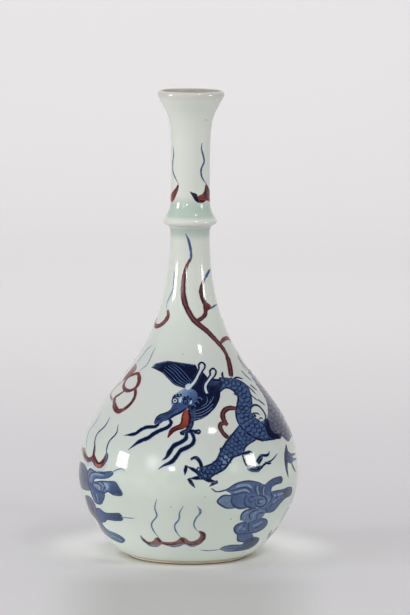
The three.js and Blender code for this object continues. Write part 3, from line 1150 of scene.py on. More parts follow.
RIGHT_CLOUD_FOOT = [
    (237, 533.4), (244, 534), (252, 533), (253.4, 536.6), (258.6, 538.5), (256.3, 543.3), (251, 547.2),
    (243.4, 549.7), (231.9, 551), (224.2, 551), (219.6, 549.1), (224.2, 546.6), (231.9, 545.2),
    (240, 544.8), (243.6, 542.6), (239, 541.6), (237.2, 538.6),
]
RIGHT_CLOUD_FOOT_TIP = [
    (247.4, 538.9), (252.3, 537.6), (258.2, 538.9), (256.1, 543), (251, 546.8), (243.4, 549.2),
    (233, 550.4), (240, 547), (246, 543),
]
RIGHT_CLOUD_OUTLINES = {
    "top": (0.55, [
        (211.5, 488.5), (216.6, 491.7), (224.2, 490.4), (228.7, 488.5), (234.4, 484.7), (240.8, 482.2),
        (249, 481), (257.7, 482.3), (263, 484.6),
    ]),
    "first_lobe": (0.65, [
        (231.3, 495.5), (224.2, 495.5), (219.8, 498), (217.5, 501.9), (221, 505.1), (226.8, 507.9),
        (234.4, 507.9),
    ]),
    "second_lobe": (0.8, [
        (233.2, 495.5), (231.3, 500.6), (233.8, 505.7), (239.5, 508.1), (247.2, 507.7),
    ]),
    "third_lobe": (0.75, [(246.6, 494.9), (244, 500), (245.9, 505.7), (252.3, 507.8), (256.5, 506.9)]),
    "hook": (0.6, [(256, 496.1), (251, 496.9), (248.3, 499.8), (250.6, 502.2), (254.8, 500.8)]),
    "spiral_outer": (0.75, [
        (254.6, 495.9), (260.4, 495.4), (265.6, 498), (266.2, 502.6), (262, 506.4), (257, 506.2),
        (254.9, 502), (256.6, 498.6),
    ]),
    "spiral_inner": (0.6, [
        (263.4, 499.6), (260.4, 498.6), (257.8, 500.6), (258.6, 503.6), (262.4, 503.8),
    ]),
    "upper_band": (0.6, [
        (228.7, 490.9), (235.7, 489.9), (240.8, 488), (245.9, 487.5), (249.9, 489.8), (253, 494),
    ]),
    "lower_band": (0.75, [(231.3, 494.9), (236, 494.4), (240.8, 493), (245.9, 492.3), (250, 494)]),
    "first_bar": (0.7, [(255.5, 484.7), (255, 489.4), (257.4, 495.4)]),
    "second_bar": (0.6, [(260, 485.9), (259.4, 490.4), (260.8, 495.4)]),
    "third_bar": (0.7, [(263.1, 485.9), (262, 490.4), (262.6, 495.4)]),
    "fourth_bar": (0.7, [(266.3, 485.9), (264.6, 490), (265, 495)]),
    "upper_arm": (0.65, [(266.3, 484), *RIGHT_CLOUD_UPPER_ARM[2:9], (270.6, 491.6)]),
    "arm": (0.65, [(271.4, 492), *RIGHT_CLOUD_ARM[2:12]]),
    "arm_root": (0.7, [(270.8, 492.4), (272, 497.6), (268.9, 503.2), (266, 505)]),
    "arm_cross": (0.6, [(277.2, 491.6), (276.4, 495.4), (278.4, 500.4)]),
    "arm_fold": (0.6, [(281.4, 499), (276, 501.6), (270.8, 505.7), (270.2, 511)]),
    "arm_stroke": (0.6, [(266.6, 505.7), (265.6, 508.6), (267.6, 512)]),
    "second_tier": (0.65, [
        (240.6, 520.4), (241.3, 514.6), (245.3, 510.8), (251, 508.9), (257.4, 508.3),
    ]),
    "second_tier_inner": (0.65, [(250.2, 520), (249.5, 514.6), (252.9, 511.3), (258.7, 510)]),
    "second_tier_last": (0.65, [(256.1, 519), (257.2, 514.6), (260, 512.8), (264, 512.8)]),
    "third_tier": (0.65, [
        (248.8, 524), (245.6, 522.4), (241.5, 522.7), (235.7, 525.5), (234.2, 529.3), (236.4, 533.2),
        (240.8, 533.9), (249.7, 532.8), (256.1, 532), (262.5, 528.8), (266.5, 524.4), (266.5, 520.2),
        (262.5, 518.6), (256.1, 519.5), (250, 522.4),
    ]),
    "third_tier_cross": (0.75, [(249.4, 521.6), (248.2, 527), (249, 532.6)]),
    "third_tier_hook": (0.6, [(246, 526), (243.4, 525.4), (243, 528.6)]),
    "third_tier_inner": (0.6, [(252.3, 528.9), (257, 527.4), (261.6, 524.2), (263.8, 521)]),
    "fourth_tier": (0.6, [(238, 534.6), (237.4, 538), (238.6, 541), (244.6, 541), (250, 539)]),
    "foot": (0.5, [
        (219.6, 549.1), (224.2, 546.5), (231.9, 545.1), (241, 544.8), (246.6, 541.6), (252.3, 537.6),
        (258.6, 538.5), (256.3, 543.5), (251, 547.4), (243.4, 549.9), (231.9, 551.2), (224.2, 551.2),
    ]),
    "foot_fold": (0.45, [(226, 549), (234, 548), (243, 546.6), (250, 543)]),
}
RIGHT_CLOUD_TAIL = [(221.6, 549), (212.8, 550.2), (206.4, 550.5), (199.6, 549.7)]
RIGHT_CLOUD_PALE = {
    "top_band": (1.0, [(236, 487), (242, 485.2), (248, 485.2), (252, 488)]),
    "middle_band": (0.8, [(234, 492.4), (240.8, 490.6), (246, 490.2), (249.4, 492.4)]),
    "first_gap": (0.7, [(257.6, 486), (257.4, 490), (259, 495)]),
    "second_gap": (0.7, [(264.6, 487), (263.4, 491), (263.8, 495)]),
    "arm_band": (1.0, [(273.6, 495.4), (279, 494.4), (283, 493)]),
    "lower_arm_band": (0.9, [(272.6, 503), (276.6, 500), (279.4, 497.6)]),
    "second_tier_left": (0.9, [(244.4, 518.6), (245, 514.4), (248.4, 511.6)]),
    "second_tier_right": (0.8, [(253.2, 518), (253.6, 514), (256.6, 511.4)]),
    "third_tier_left": (1.1, [(238, 529.6), (240.6, 526.4), (245, 529.6)]),
    "third_tier_right": (1.0, [(252.6, 526), (258, 524), (262.4, 521.4)]),
}
RIGHT_CLOUD_WASHES = {
    "top": (RIGHT_CLOUD_TOP, (0.52, 0.64), ((230, 484), (262, 492))),
    "upper_arm": (RIGHT_CLOUD_UPPER_ARM, (0.6, 0.74), ((266, 490), (281, 479))),
    "arm": (RIGHT_CLOUD_ARM, (0.55, 0.62), ((262, 498), (284, 496))),
    "arm_tip": (RIGHT_CLOUD_ARM_TIP, 0.8),
    "lobes": (RIGHT_CLOUD_LOBES, (0.6, 0.5), ((234, 500), (262, 500))),
    "teal_lobe": (RIGHT_CLOUD_TEAL_LOBE, 0.46),
    "foot": (RIGHT_CLOUD_FOOT, (0.46, 0.55), ((222, 549), (246, 538))),
    "foot_tip": (RIGHT_CLOUD_FOOT_TIP, (0.62, 0.82), ((234, 549), (256, 540))),
    "second_tier": (RIGHT_CLOUD_SECOND, 0.5),
    "third_tier": (RIGHT_CLOUD_THIRD, (0.54, 0.6), ((236, 530), (264, 522))),
}
RIGHT_CLOUD_BACK_TURN = 112


def paint_right_cloud(place, turn):
    cloud = Painting("right_cloud_" + place, cobalt)
    cloud.patches(RIGHT_CLOUD_WASHES)
    cloud.lines(RIGHT_CLOUD_PALE, load=0.43, edge=0.52)
    cloud.lines(RIGHT_CLOUD_OUTLINES, load=0.8, edge=0.56, tip=0.7, tail=0.5)
    cloud.line(RIGHT_CLOUD_TAIL, 0.6, load=0.42, edge=0.1, tail=0.2)
    cloud.finish(turn)


paint_right_cloud("front", 0)
paint_right_cloud("back", math.radians(RIGHT_CLOUD_BACK_TURN))


# Dragon's scaled body
# A mid cobalt wash under dark scales, darker still along the back. The trunk runs down into the
# raised foreleg, and the rest of the body passes round to the back of the vase.

TRUNK = [
    (219, 378.6), (222, 377.7), (230.4, 379.1), (238.2, 380.5), (244.5, 384), (248.7, 389.6),
    (250.8, 396.7), (251.5, 403), (250.1, 411.4), (254.3, 418.4), (259.9, 421.9), (266.9, 423.3),
    (269.6, 428), (274, 434), (279.6, 436.8), (275.4, 438.4), (269, 439.2), (262.7, 439.9),
    (256.4, 438.6), (248.7, 434.2), (240.3, 426), (236.8, 419.1), (236.1, 411.4), (237.5, 403.7),
    (238.2, 397.4), (234.6, 391.8), (229, 388.2), (224.1, 388.2), (219.9, 391.8),
]
FORELEG = [
    (239.6, 425.4), (234.6, 431.8), (230.4, 437.4), (225.5, 443.7), (221.3, 450.7), (217.8, 458.4),
    (213, 463.6), (205, 466.6), (199.4, 468.6), (198.6, 473), (199.4, 477.6), (205, 479), (210.6, 477),
    (215, 473.9), (219.2, 471.8), (224.1, 468.9), (229, 462.6), (233.2, 457), (238.9, 454.9),
    (243.1, 452.8), (244.5, 447.9), (248.7, 443.7), (257.1, 439.4), (250, 435), (243.4, 430),
]
COIL = [
    (248, 370), (254.3, 380.5), (259.9, 389), (264.8, 396.7), (267.6, 403.7), (268.3, 412.1),
    (266.9, 420.5), (268, 430), (276, 437.8), (281, 435.3), (285.2, 439.5), (288.7, 441.6),
    (292.2, 433.2), (290.8, 428.2), (282.4, 416.3), (274.6, 401.6), (264.1, 386.1), (252.2, 372.1),
]
TRUNK_GUIDE = [
    (219, 384), (226, 382.6), (233, 383.6), (239.4, 388.6), (243.6, 396), (244.4, 404), (243.2, 411),
    (246, 418.6), (252, 425.4), (259, 430), (267, 431.6), (276, 435),
]
FORELEG_GUIDE = [
    (254, 432), (247, 434), (240.6, 438.6), (234, 446.6), (228.6, 453.6), (222.4, 460.6), (214, 467.4),
    (205, 473), (197, 475),
]
COIL_GUIDE = [(250, 371), (258, 383), (266, 395), (272, 407), (276, 419), (281, 430), (286, 440)]
BACK_BAND = [
    (221, 379.4), (230.2, 380.6), (237.8, 382), (243.6, 385.4), (247.4, 390.6), (249.4, 397),
    (250, 403), (248.8, 411.2), (253, 418.8), (259, 422.8), (266, 424.4),
]
BODY_LINES = {
    "back": (0.75, TRUNK[:12]),
    "belly": (0.8, TRUNK[:-9:-1] + FORELEG[:1]),
    "leg_fold": (1.0, [
        (239.4, 425), (243.6, 429.8), (248.7, 434.2), (256.4, 438.4), (262.7, 439.8), (269, 439.1),
        (275.4, 438.3), (280.3, 435.6),
    ]),
    "leg_front": (0.8, FORELEG[:9]),
    "leg_back": (0.8, [(257.1, 438.8), *FORELEG[21:11:-1], (205, 479.2)]),
}
JUNCTION = [
    (265.2, 418.4), (268.6, 420.6), (269.8, 427), (272.6, 431.6), (276.8, 434), (281.4, 433.4),
    (280.8, 437), (276.6, 439.2), (271.2, 438), (267.4, 434), (265.2, 428.4), (264, 423),
]
TRUNK_ROOT = [
    (212, 379.8), (218, 379), (222.4, 378.6), (223, 384), (221, 388.8), (218.6, 392), (213, 392),
]
COIL_EDGE = [(236.6, 350.6), (240.4, 360), *COIL[:7]]
COIL_RUN = ((254, 378), (272, 408))
JUNCTION_RUN = ((264, 422), (274, 434))
BODY_WASH = 0.62
KNEE = [(223, 456), (229, 455.6), (231.4, 459.6), (227.4, 464.6), (222, 467.4), (220.8, 461.4)]

coil = Painting("dragon_coil", grey_cobalt)
coil.wash(COIL, (0.53, 0.69), COIL_RUN)
coil.line(COIL_EDGE, 0.8, load=0.85, edge=0.4, tip=0.2)
coil.scales(COIL, COIL_GUIDE, 4.8, 0.6, load=0.86, edge=0.66)
coil.finish()

body = Painting("dragon_body", cobalt)
body.wash(FORELEG, BODY_WASH)
body.wash(KNEE, 0.44)
body.wash(TRUNK, BODY_WASH)
body.wash(TRUNK_ROOT, 0.86)
body.line(BACK_BAND, 1.5, load=0.72, edge=0.5, tip=0.7, tail=0.7)
body.lines(BODY_LINES, load=0.98, edge=0.5, tip=0.7, tail=0.6)
body.finish()

scales = Painting("dragon_scales", cobalt)
scales.scales(TRUNK, TRUNK_GUIDE, 5.0, 0.66, load=0.86, edge=0.66)
scales.scales(FORELEG, FORELEG_GUIDE, 4.8, 0.66, load=0.86, edge=0.66)
scales.wash(JUNCTION, (0.86, 0.98), JUNCTION_RUN, lift=0.13)
scales.finish()


# Dragon's tail
# Round the back of the vase the body goes on, bends once and thins out to a finned tail, with a
# hind leg under it. It is painted here as seen from behind.

TAIL_GUIDE = [
    (88, 414), (100, 404), (114, 397), (130, 395), (146, 399), (162, 408), (177, 419), (193, 428),
    (210, 431), (226, 426), (238, 415), (244, 401), (245, 388),
]
TAIL_WIDTHS = [26, 25, 24, 23, 21.5, 20, 18, 16, 13.5, 11, 8.5, 6, 3]


def ribbon(guide, widths):
    """The outline, in pixels, of a strip with a given width at each point of its guide."""
    left, right = [], []
    for i, spot in enumerate(guide):
        ahead = Vector(guide[min(i + 1, len(guide) - 1)]) - Vector(guide[max(i - 1, 0)])
        beside = Vector((-ahead.y, ahead.x)).normalized() * widths[i] / 2
        left.append(tuple(Vector(spot) + beside))
        right.append(tuple(Vector(spot) - beside))
    return left, right


tail_under, tail_back = ribbon(TAIL_GUIDE, TAIL_WIDTHS)
TAIL = tail_under + tail_back[::-1]
HIND_LEG_GUIDE = [(150, 408), (146, 420), (138, 431), (132, 442), (136, 452), (146, 459), (156, 463)]
HIND_LEG_WIDTHS = [22, 19, 15, 12, 10.5, 10, 9]
leg_front, leg_back = ribbon(HIND_LEG_GUIDE, HIND_LEG_WIDTHS)
HIND_LEG = leg_front + leg_back[::-1]
HIND_CLAWS = {
    "upper": (1.2, [(158, 461), (163, 455), (169, 452.6), (173, 455)]),
    "middle": (1.2, [(159, 463), (167, 462), (174, 463.6), (177, 469)]),
    "lower": (1.2, [(158, 465), (164, 469), (167, 475), (164, 480)]),
    "spur": (1.1, [(153, 466), (149, 472), (143, 474)]),
}
TAIL_FINS = {
    "tip": (1.6, [(245, 390), (246, 380), (242, 370), (244, 360)]),
    "tip_left": (1.3, [(244, 392), (238, 384), (236, 375), (231, 368)]),
    "tip_right": (1.3, [(246, 391), (251, 384), (252, 376), (257, 369)]),
    "first_spine": (0.9, [(118, 385), (121, 379), (126, 377)]),
    "second_spine": (0.9, [(134, 384), (138, 378), (143, 377)]),
    "third_spine": (0.9, [(151, 390), (156, 384), (161, 384)]),
    "fourth_spine": (0.9, [(167, 400), (172, 395), (177, 396)]),
    "fifth_spine": (0.9, [(182, 411), (187, 406), (192, 407)]),
    "sixth_spine": (0.8, [(198, 420), (203, 414), (208, 415)]),
    "seventh_spine": (0.8, [(214, 423), (218, 417), (223, 417)]),
}

tail = Painting("dragon_tail", cobalt)
tail.wash(HIND_LEG, BODY_WASH)
tail.wash(TAIL, BODY_WASH)
tail.line(tail_back, 1.8, load=0.75, edge=0.5, tip=0.8)
tail.line(tail_back, 0.8, load=0.98, edge=0.6, tip=0.8)
tail.line(tail_under, 0.8, load=0.98, edge=0.5, tip=0.8)
tail.line(leg_front[1:], 0.8, load=0.98, edge=0.5, tip=0.8, tail=0.8)
tail.line(leg_back[1:], 0.8, load=0.98, edge=0.5, tip=0.8, tail=0.8)
tail.lines(HIND_CLAWS, load=1, tip=0.8, tail=0.2)
tail.lines(TAIL_FINS, load=0.95, tip=0.8, tail=0.15)
tail.finish(math.pi)

scales = Painting("dragon_tail_scales", cobalt)
scales.scales(TAIL, TAIL_GUIDE, 5.0, 0.66, load=0.86, edge=0.66)
scales.scales(HIND_LEG, HIND_LEG_GUIDE, 4.8, 0.66, load=0.86, edge=0.66)
scales.finish(math.pi)


# Dragon's manes
# Two brushes of hair swept back from the head, laid in dark wash with the hairs drawn over it and
# pale gaps left between the lower ones.

PLUME = [
    (153.4, 367.2), (158, 364.8), (164, 363), (170.4, 362.8), (176.5, 363.4), (183.7, 365.4),
    (190.8, 366.6), (196.4, 368), (197, 370.4), (195.1, 376), (192.4, 381.4), (189, 385.6),
    (184.8, 388.2), (180, 386.6), (174.7, 384.3), (170.1, 379.7), (166.6, 375.1), (161.5, 371.6),
    (156.9, 369.4),
]
PLUME_GUIDES = [
    [(185.4, 387.6), (175.4, 384), (169.6, 378.6), (162.6, 371.6), (151.4, 367.4)],
    [(189.2, 385.2), (180.6, 379.6), (174.5, 372.4), (166.3, 365.9), (155.2, 363.6)],
    [(192.2, 382.4), (187, 376), (181, 369.4), (174.5, 364.6), (166.4, 360.6)],
    [(194.9, 378.4), (192.3, 373.5), (189, 369.2), (185.2, 366), (180.6, 362.4)],
    [(197.4, 371.6), (197, 370.4), (196.4, 369), (195.4, 367.2), (194.2, 364.2)],
]
MANE = [
    (201.6, 371.6), (205.1, 374.5), (208.5, 378), (214.8, 379.1), (219.4, 379.7), (219.9, 385),
    (219.7, 392.3), (218.8, 399.8), (216, 406.6), (210.8, 412.4), (206.2, 416.4), (200.5, 419.3),
    (194.8, 421), (192.3, 421.4), (191.7, 415), (190.2, 408.4), (193, 404.4), (196, 398.4),
    (195.6, 392.6), (190.4, 389.6), (193, 385.6), (198, 377.6),
]
MANE_GUIDES = [
    [(219.2, 381.4), (219.6, 391), (217.8, 400.6), (212, 409.6), (203.6, 416.2), (193, 420.6)],
    [(214.4, 381), (214.2, 390), (212, 398.8), (206.6, 406), (199.6, 411.6), (192, 416)],
    [(208.4, 380), (208.4, 388), (206.2, 395.6), (202.4, 402), (197, 407), (191.4, 411)],
]
MANE_PALE = {
    "first": (0.3, [(193, 411.8), (199, 410), (206.4, 406.4), (211.4, 401.4), (213.6, 396.4)]),
    "second": (0.3, [(194, 413.9), (201, 412.6), (208.2, 408.8), (213.2, 403.8)]),
    "third": (0.3, [(194, 416.3), (200.7, 415.5), (207.4, 412.2), (212.6, 407.8)]),
    "fourth": (0.28, [(194, 418.8), (199.8, 418.4), (205.6, 416)]),
    "curl": (0.26, [(201, 407), (205.4, 404.4), (207.6, 400.4), (206.4, 396.8)]),
    "outer_curl": (0.26, [(203, 408.8), (208.4, 405), (210.8, 399.6)]),
}

manes = Painting("dragon_manes", cobalt)
manes.wash(PLUME, 1, lift=0.055, patchy=0.03)
manes.fan(PLUME_GUIDES, 26, 0.85, load=1, edge=0.9, tip=0.8, tail=0.15)
manes.fan([guide[:4] for guide in PLUME_GUIDES[:3]], 6, 0.26, load=0.5, edge=0.9, lift=0.13)
manes.wash(MANE, 1, lift=0.055, patchy=0.03)
manes.fan(MANE_GUIDES, 12, 0.7, load=1, edge=0.85)
manes.lines(MANE_PALE, load=0.42, edge=0.85, lift=0.13)
manes.finish()


# Dragon's head
# A long snout held low with the mouth open. The horns and the whites of the eyes are bare ground
# left in the wash, and the whiskers and beards are single loaded strokes.

FOREHEAD = [
    (171.4, 400), (174, 395.2), (177, 392.9), (180.4, 390.6), (184.4, 388.8), (190, 388.4),
    (196, 391.4), (197.6, 396.4), (195.4, 402), (191.4, 406.6), (187.9, 408.4), (181, 409),
    (174, 407.6), (171.2, 404),
]
SNOUT = [
    (172.6, 405.4), (178, 402.6), (186, 403.6), (191.2, 405.4), (187.9, 408), (185, 408.9),
    (182.1, 411.2), (177.5, 413.5), (172.9, 415.8), (169.5, 418.1), (164.3, 420.8), (159.2, 424.4),
    (155.2, 425), (154, 422.9), (156.3, 418.1), (160.3, 414.9), (167.2, 412.4), (170.7, 409.8),
]
SNOUT_LINES = {
    "top": (0.5, [
        (172.9, 406.1), (170.7, 409.8), (167.2, 412.4), (160.3, 414.8), (156.3, 418.1), (154, 423),
    ]),
    "under": (0.9, [
        (189, 407.6), (185, 409), (182.1, 411.4), (177.5, 413.7), (172.9, 416), (169.5, 418.3),
        (164.3, 421),
    ]),
    "nostril": (0.7, [(156.4, 421), (158.8, 418.6), (162, 418.4)]),
    "bridge": (0.5, [(163, 416), (169, 413.6), (175, 409.6), (180, 407.4)]),
}
CHEEK_ARC = [(-2.4, -1.6), (0, -2.8), (2.2, -0.2)]
CHEEK_DISCS = [(199.9, 400.3), (197, 403.8), (193.6, 407.2)]
HORN_BASE = [
    (186.2, 384.6), (190.4, 383.4), (192.4, 384.6), (190.6, 388.6), (187.4, 390), (185.2, 387.6),
]
FIRST_HORN = [
    (201.6, 366.2), (200.5, 369.4), (198.2, 374.4), (195.5, 380), (191.9, 385), (189.2, 387.6),
]
SECOND_HORN = [
    (212.8, 372.2), (211.6, 376), (208.3, 380.6), (205.6, 384.8), (205.2, 389), (207.2, 393.4),
]
HORN_LINES = {
    "first_left": (0.65, [
        (199.2, 368.4), (198.6, 365), (201.6, 362.4), (204.7, 364.8), (204.4, 368.6), (202.6, 370.8),
    ]),
    "first_shaft_left": (0.55, [(199.2, 368.4), (196.8, 373.6), (193.9, 379.2), (190.2, 384)]),
    "first_shaft_right": (0.55, [(202.6, 370.8), (200.2, 375.8), (197.2, 381.4), (193.6, 386.4)]),
    "second_left": (0.65, [
        (210.4, 374.6), (209.8, 371.2), (212.8, 368.4), (215.9, 371), (215.2, 375), (213.2, 377.8),
    ]),
    "second_shaft_left": (0.55, [
        (210.4, 374.6), (207.4, 379), (204, 384), (203.4, 388.6), (204.8, 392.6),
    ]),
    "second_shaft_right": (0.6, [
        (213.2, 377.8), (209.8, 382), (207.2, 386.4), (208, 391), (209.4, 394.4),
    ]),
}
BROWS = {
    "first_inner": (0.7, [(177.4, 394), (178.6, 396.6)]),
    "first_middle": (0.7, [(174.3, 394.8), (175.2, 397)]),
    "first_outer": (0.7, [(180.6, 394), (181.2, 396.4)]),
    "second_inner": (0.7, [(184.6, 396.4), (184.4, 398.8)]),
    "second_middle": (0.7, [(188, 395.8), (187.6, 398.4)]),
    "second_outer": (0.7, [(191, 398), (190.6, 400.6)]),
    "first_lid": (0.6, [(172.4, 397.8), (176, 396.4), (180, 396.8)]),
    "second_lid": (0.6, [(182.6, 399.4), (186.4, 398), (189.6, 399.6)]),
}
EYE_WHITES = {
    "between": (0.8, [(181.4, 397.4), (180.3, 399.8), (180, 402.8)]),
    "outer": (0.7, [(191.4, 400.6), (191, 402.8), (189.6, 404.4)]),
}
EYES = {
    "near_eye": ((175, 400.9), (3.5, 2.2, 1.0), 0.2),
    "far_eye": ((185.5, 401.9), (3.0, 1.7, 0.8), 0.6),
}
JAW = [
    (189.6, 405.4), (190.4, 409.4), (191.6, 414.6), (192, 420), (190.6, 426), (187, 430.8),
    (182, 432.6),
]
CHIN = [
    (179.6, 432.4), (182.1, 430.8), (186.7, 429.6), (190, 430), (188, 433.6), (184, 435.4),
    (180.4, 434.6),
]
WHISKERS = {
    "upper": (1.45, [
        (158.8, 424), (155.3, 426.6), (150, 427), (146.1, 427.4), (140.6, 430), (136, 433.4),
        (131.2, 434.6), (124, 435.4),
    ]),
    "lower": (1.6, [
        (169.6, 419.4), (171.2, 423.2), (167.4, 427.4), (159.4, 430.8), (153.2, 434.2), (148.4, 437.8),
        (142.7, 440), (137.9, 442.4), (133.2, 446), (128.2, 449.8),
    ]),
    "front_beard": (1.7, [
        (186.4, 433), (185.9, 438.4), (181, 442.2), (174, 445.8), (169.8, 451.6), (166.4, 457.2),
        (162, 460.4),
    ]),
    "back_beard": (1.6, [
        (191.6, 432.6), (194.1, 439), (192, 444.4), (186, 448), (180.6, 450.6), (176.4, 456.4),
        (171.6, 461.8), (163.5, 465.6), (158, 469.4),
    ]),
}
FOREHEAD_RUN = ((180, 392), (199, 402))
SNOUT_RUN = ((186, 405), (156, 422))
CHIN_STROKE = [(189, 431), (192.6, 431.6), (196, 432)]
JAW_KNOT = (198.3, 431.8)
JAW_KNOT_LIGHT = (198.5, 431.7)

head = Painting("dragon_head", cobalt)
head.wash(FOREHEAD, (0.4, 0.74), FOREHEAD_RUN, lift=0.08)
head.wash(SNOUT, (0.68, 0.76), SNOUT_RUN, lift=0.08)
head.lines(SNOUT_LINES, load=0.95, edge=0.6)
for x, y in CHEEK_DISCS:
    arc = [(x + across, y + down) for across, down in CHEEK_ARC]
    head.line(arc, 0.6, load=0.66, edge=0.9, lift=0.12)
head.wash(HORN_BASE, 0.1, lift=0.11, patchy=0)
for horn in (FIRST_HORN, SECOND_HORN):
    head.line(horn, 0.85, load=0.08, edge=0.2, tip=1, tail=1, lift=0.135)
head.lines(HORN_LINES, load=0.98, edge=0.6, tip=1, tail=0.8, lift=0.15)
head.lines(EYE_WHITES, load=0.15, edge=0.34, lift=0.13)
for centre, radii, white in EYES.values():
    for radius, load, lift in zip(radii, (0.98, white, 0.94), (0.09, 0.11, 0.13)):
        head.disc(centre, radius, load, lift=lift)
head.lines(BROWS, load=0.98, edge=0.6, tip=1, tail=0.6, lift=0.2)
head.line(JAW, 1.6, load=0.95, core=0.8, edge=0.9, tip=0.7, tail=0.9)
head.wash(CHIN, 0.96, lift=0.02)
head.line(CHIN_STROKE, 1.7, load=0.98, tip=1, tail=1)
head.disc(JAW_KNOT, 2.8, 0.98, lift=0.02)
head.disc(JAW_KNOT_LIGHT, 1.0, 0.5, lift=0.04)
head.lines(WHISKERS, load=1, tip=0.75, tail=0.12)
head.finish()


# Dragon's tongue and sash
# Both in copper red: the tongue glows orange in its middle, and the sash loops out in front of the
# chest.

TONGUE = [
    (186.7, 409), (189.2, 413.6), (189.8, 418.6), (188.8, 424), (184.4, 427.9), (177.5, 429.2),
    (171.8, 432.7), (169, 436.4), (167.6, 438.4), (167.8, 434.6), (170.4, 430), (175.2, 427.2),
    (180, 425.2), (182.1, 421), (182.2, 416), (184, 411.4),
]
SASH = {
    "upper": (1.8, [
        (236.6, 408.8), (231, 408), (226.2, 409.2), (222.9, 413.2), (223.2, 418.6), (226, 423.6),
        (227.6, 425.2),
    ]),
    "lower": (1.6, [
        (225.6, 423.8), (221.4, 423.6), (220, 427), (222.8, 432.6), (227.2, 437), (232, 438.6),
    ]),
}
TONGUE_RUN = ((186, 419), (172, 433))
TONGUE_RIGHT = [(187.4, 409.6), (189.8, 416), (188.8, 424.4), (184.6, 428)]
TONGUE_UNDER = [(184.2, 428.4), (177.5, 429.6), (171.8, 433), (168, 438)]
TONGUE_LEFT = [
    (184.6, 411.4), (182.4, 416), (182, 421), (179.6, 425.2), (175.2, 427), (170.4, 430.2), (167.8, 436),
]

red = Painting("dragon_tongue", copper)
red.wash(TONGUE, (0.6, 0.96), TONGUE_RUN)
red.line(TONGUE_RIGHT, 1.1, load=0.92, edge=0.5)
red.line(TONGUE_UNDER, 0.6, load=0.98, edge=0.6)
red.line(TONGUE_LEFT, 0.7, load=0.9, edge=0.5, tip=0.7)
red.finish()
red = Painting("dragon_sash", maroon)
red.lines(SASH, load=0.92, core=0.66, edge=0.7, tip=0.8, tail=0.7)
red.finish()


# Dragon's spines, claws and elbow flames
# Single pointed strokes of heavy cobalt, pressed down at the root and lifted at the tip: fins along
# the back, two clawed feet and the flames that fly from the elbow.

SPINES = {
    "shoulder_spine": (0.9, [(223.6, 378.4), (222.2, 375.4), (222.7, 371.6)]),
    "first_spine": (0.8, [(233.2, 379.3), (236.8, 377.5), (243.1, 379)]),
    "second_spine": (0.8, [(244.6, 384), (249.6, 388), (256.6, 394.8)]),
    "third_spine": (0.8, [(250.4, 385), (253.6, 387.6), (257.4, 391)]),
    "fourth_spine": (0.7, [(250, 394), (253.6, 397.4), (258, 401)]),
    "fifth_spine": (0.8, [(257.6, 399.4), (260.4, 401.6), (265, 405.4)]),
    "lobe": (1.0, [
        (250.4, 411.4), (250.6, 407.6), (253.4, 405.2), (258, 405.6), (262.4, 410), (265.6, 416),
        (264.4, 420.6), (261, 421.6),
    ]),
    "leaf": (0.65, [(250.8, 415), (253.4, 413.4), (257, 413.3), (260.2, 415.4)]),
    "leaf_blob": (1.5, [(253.6, 415), (256.4, 416.4)]),
    "leaf_under": (0.65, [(251.4, 414.4), (255.4, 418.6), (260.4, 420.6)]),
    "leaf_tip": (0.6, [(259, 418.6), (261.4, 418), (263, 419.6)]),
    "back_fin": (0.6, [(241.4, 371), (246.6, 376.5), (252.4, 381.4)]),
    "high_fin": (0.5, [(237.6, 356.4), (242.4, 365), (246.6, 371)]),
}
CLAWS = {
    "first_finger": (1.4, [(202, 470), (200.8, 464), (198.6, 460), (194.6, 458.2), (190.6, 460.6)]),
    "first_nail": (0.8, [(190.8, 459.4), (194.4, 457.2), (198, 457.6), (201.4, 461.6)]),
    "second_finger": (1.3, [(200.4, 474.6), (194, 470), (186.4, 466)]),
    "second_nail": (1.2, [(186.6, 465.4), (185.4, 470), (184.9, 475.4)]),
    "third_finger": (1.3, [(203, 478), (196, 478), (188.6, 478.9)]),
    "third_nail": (1.2, [(188.4, 478.4), (191.2, 482.6), (195.4, 488.2)]),
    "fourth_finger": (1.5, [(199.6, 475), (205, 478.4), (211, 480.8), (217.8, 481.9)]),
    "fourth_nail": (1.2, [(217.8, 481.6), (213.6, 483.4), (209, 486.8)]),
}
FAR_NAIL = [
    (286.1, 444), (287.5, 449), (288.5, 454), (288, 460), (287.6, 468), (288.5, 477.8), (286.2, 472),
    (284.7, 464), (284.2, 455.5), (285, 449),
]
FAR_PALM = [(287.6, 455.6), (290.4, 455), (293, 457), (293.2, 461), (291.4, 463.4), (288, 462.4)]
FAR_FINGERS = {
    "upper": (1.0, [(287.6, 451.6), (291, 455), (295.4, 453.4)]),
    "middle": (0.9, [(290, 457.6), (293, 459.4), (296.4, 458.6)]),
    "lower": (1.0, [(291, 460.8), (292.6, 466), (295.6, 471.8)]),
}
ELBOW_FLAMES = {
    "elbow": (1.1, [(240.6, 453.6), (245.9, 453), (250.4, 451.6), (252.4, 452.6)]),
    "lower": (0.85, [
        (242.4, 455), (243.6, 459), (245.8, 464), (250.1, 468.4), (255.7, 469.8), (260.6, 468.4),
        (264.1, 464.4), (271.1, 460.6), (274.7, 457), (277.1, 453.5),
    ]),
    "belly_of_lower": (2.3, [(248, 467), (252.4, 469), (257.6, 469), (262, 466.2)]),
    "upper": (1.1, [
        (256.6, 462), (258.6, 458.4), (261.4, 455.6), (266.2, 455.4), (268.6, 454), (269, 451),
    ]),
    "upper_swell": (2.1, [(257.4, 463), (260.4, 458.4), (262.6, 457)]),
    "hook": (0.85, [(265, 462.6), (268, 463.4), (271.4, 463)]),
}

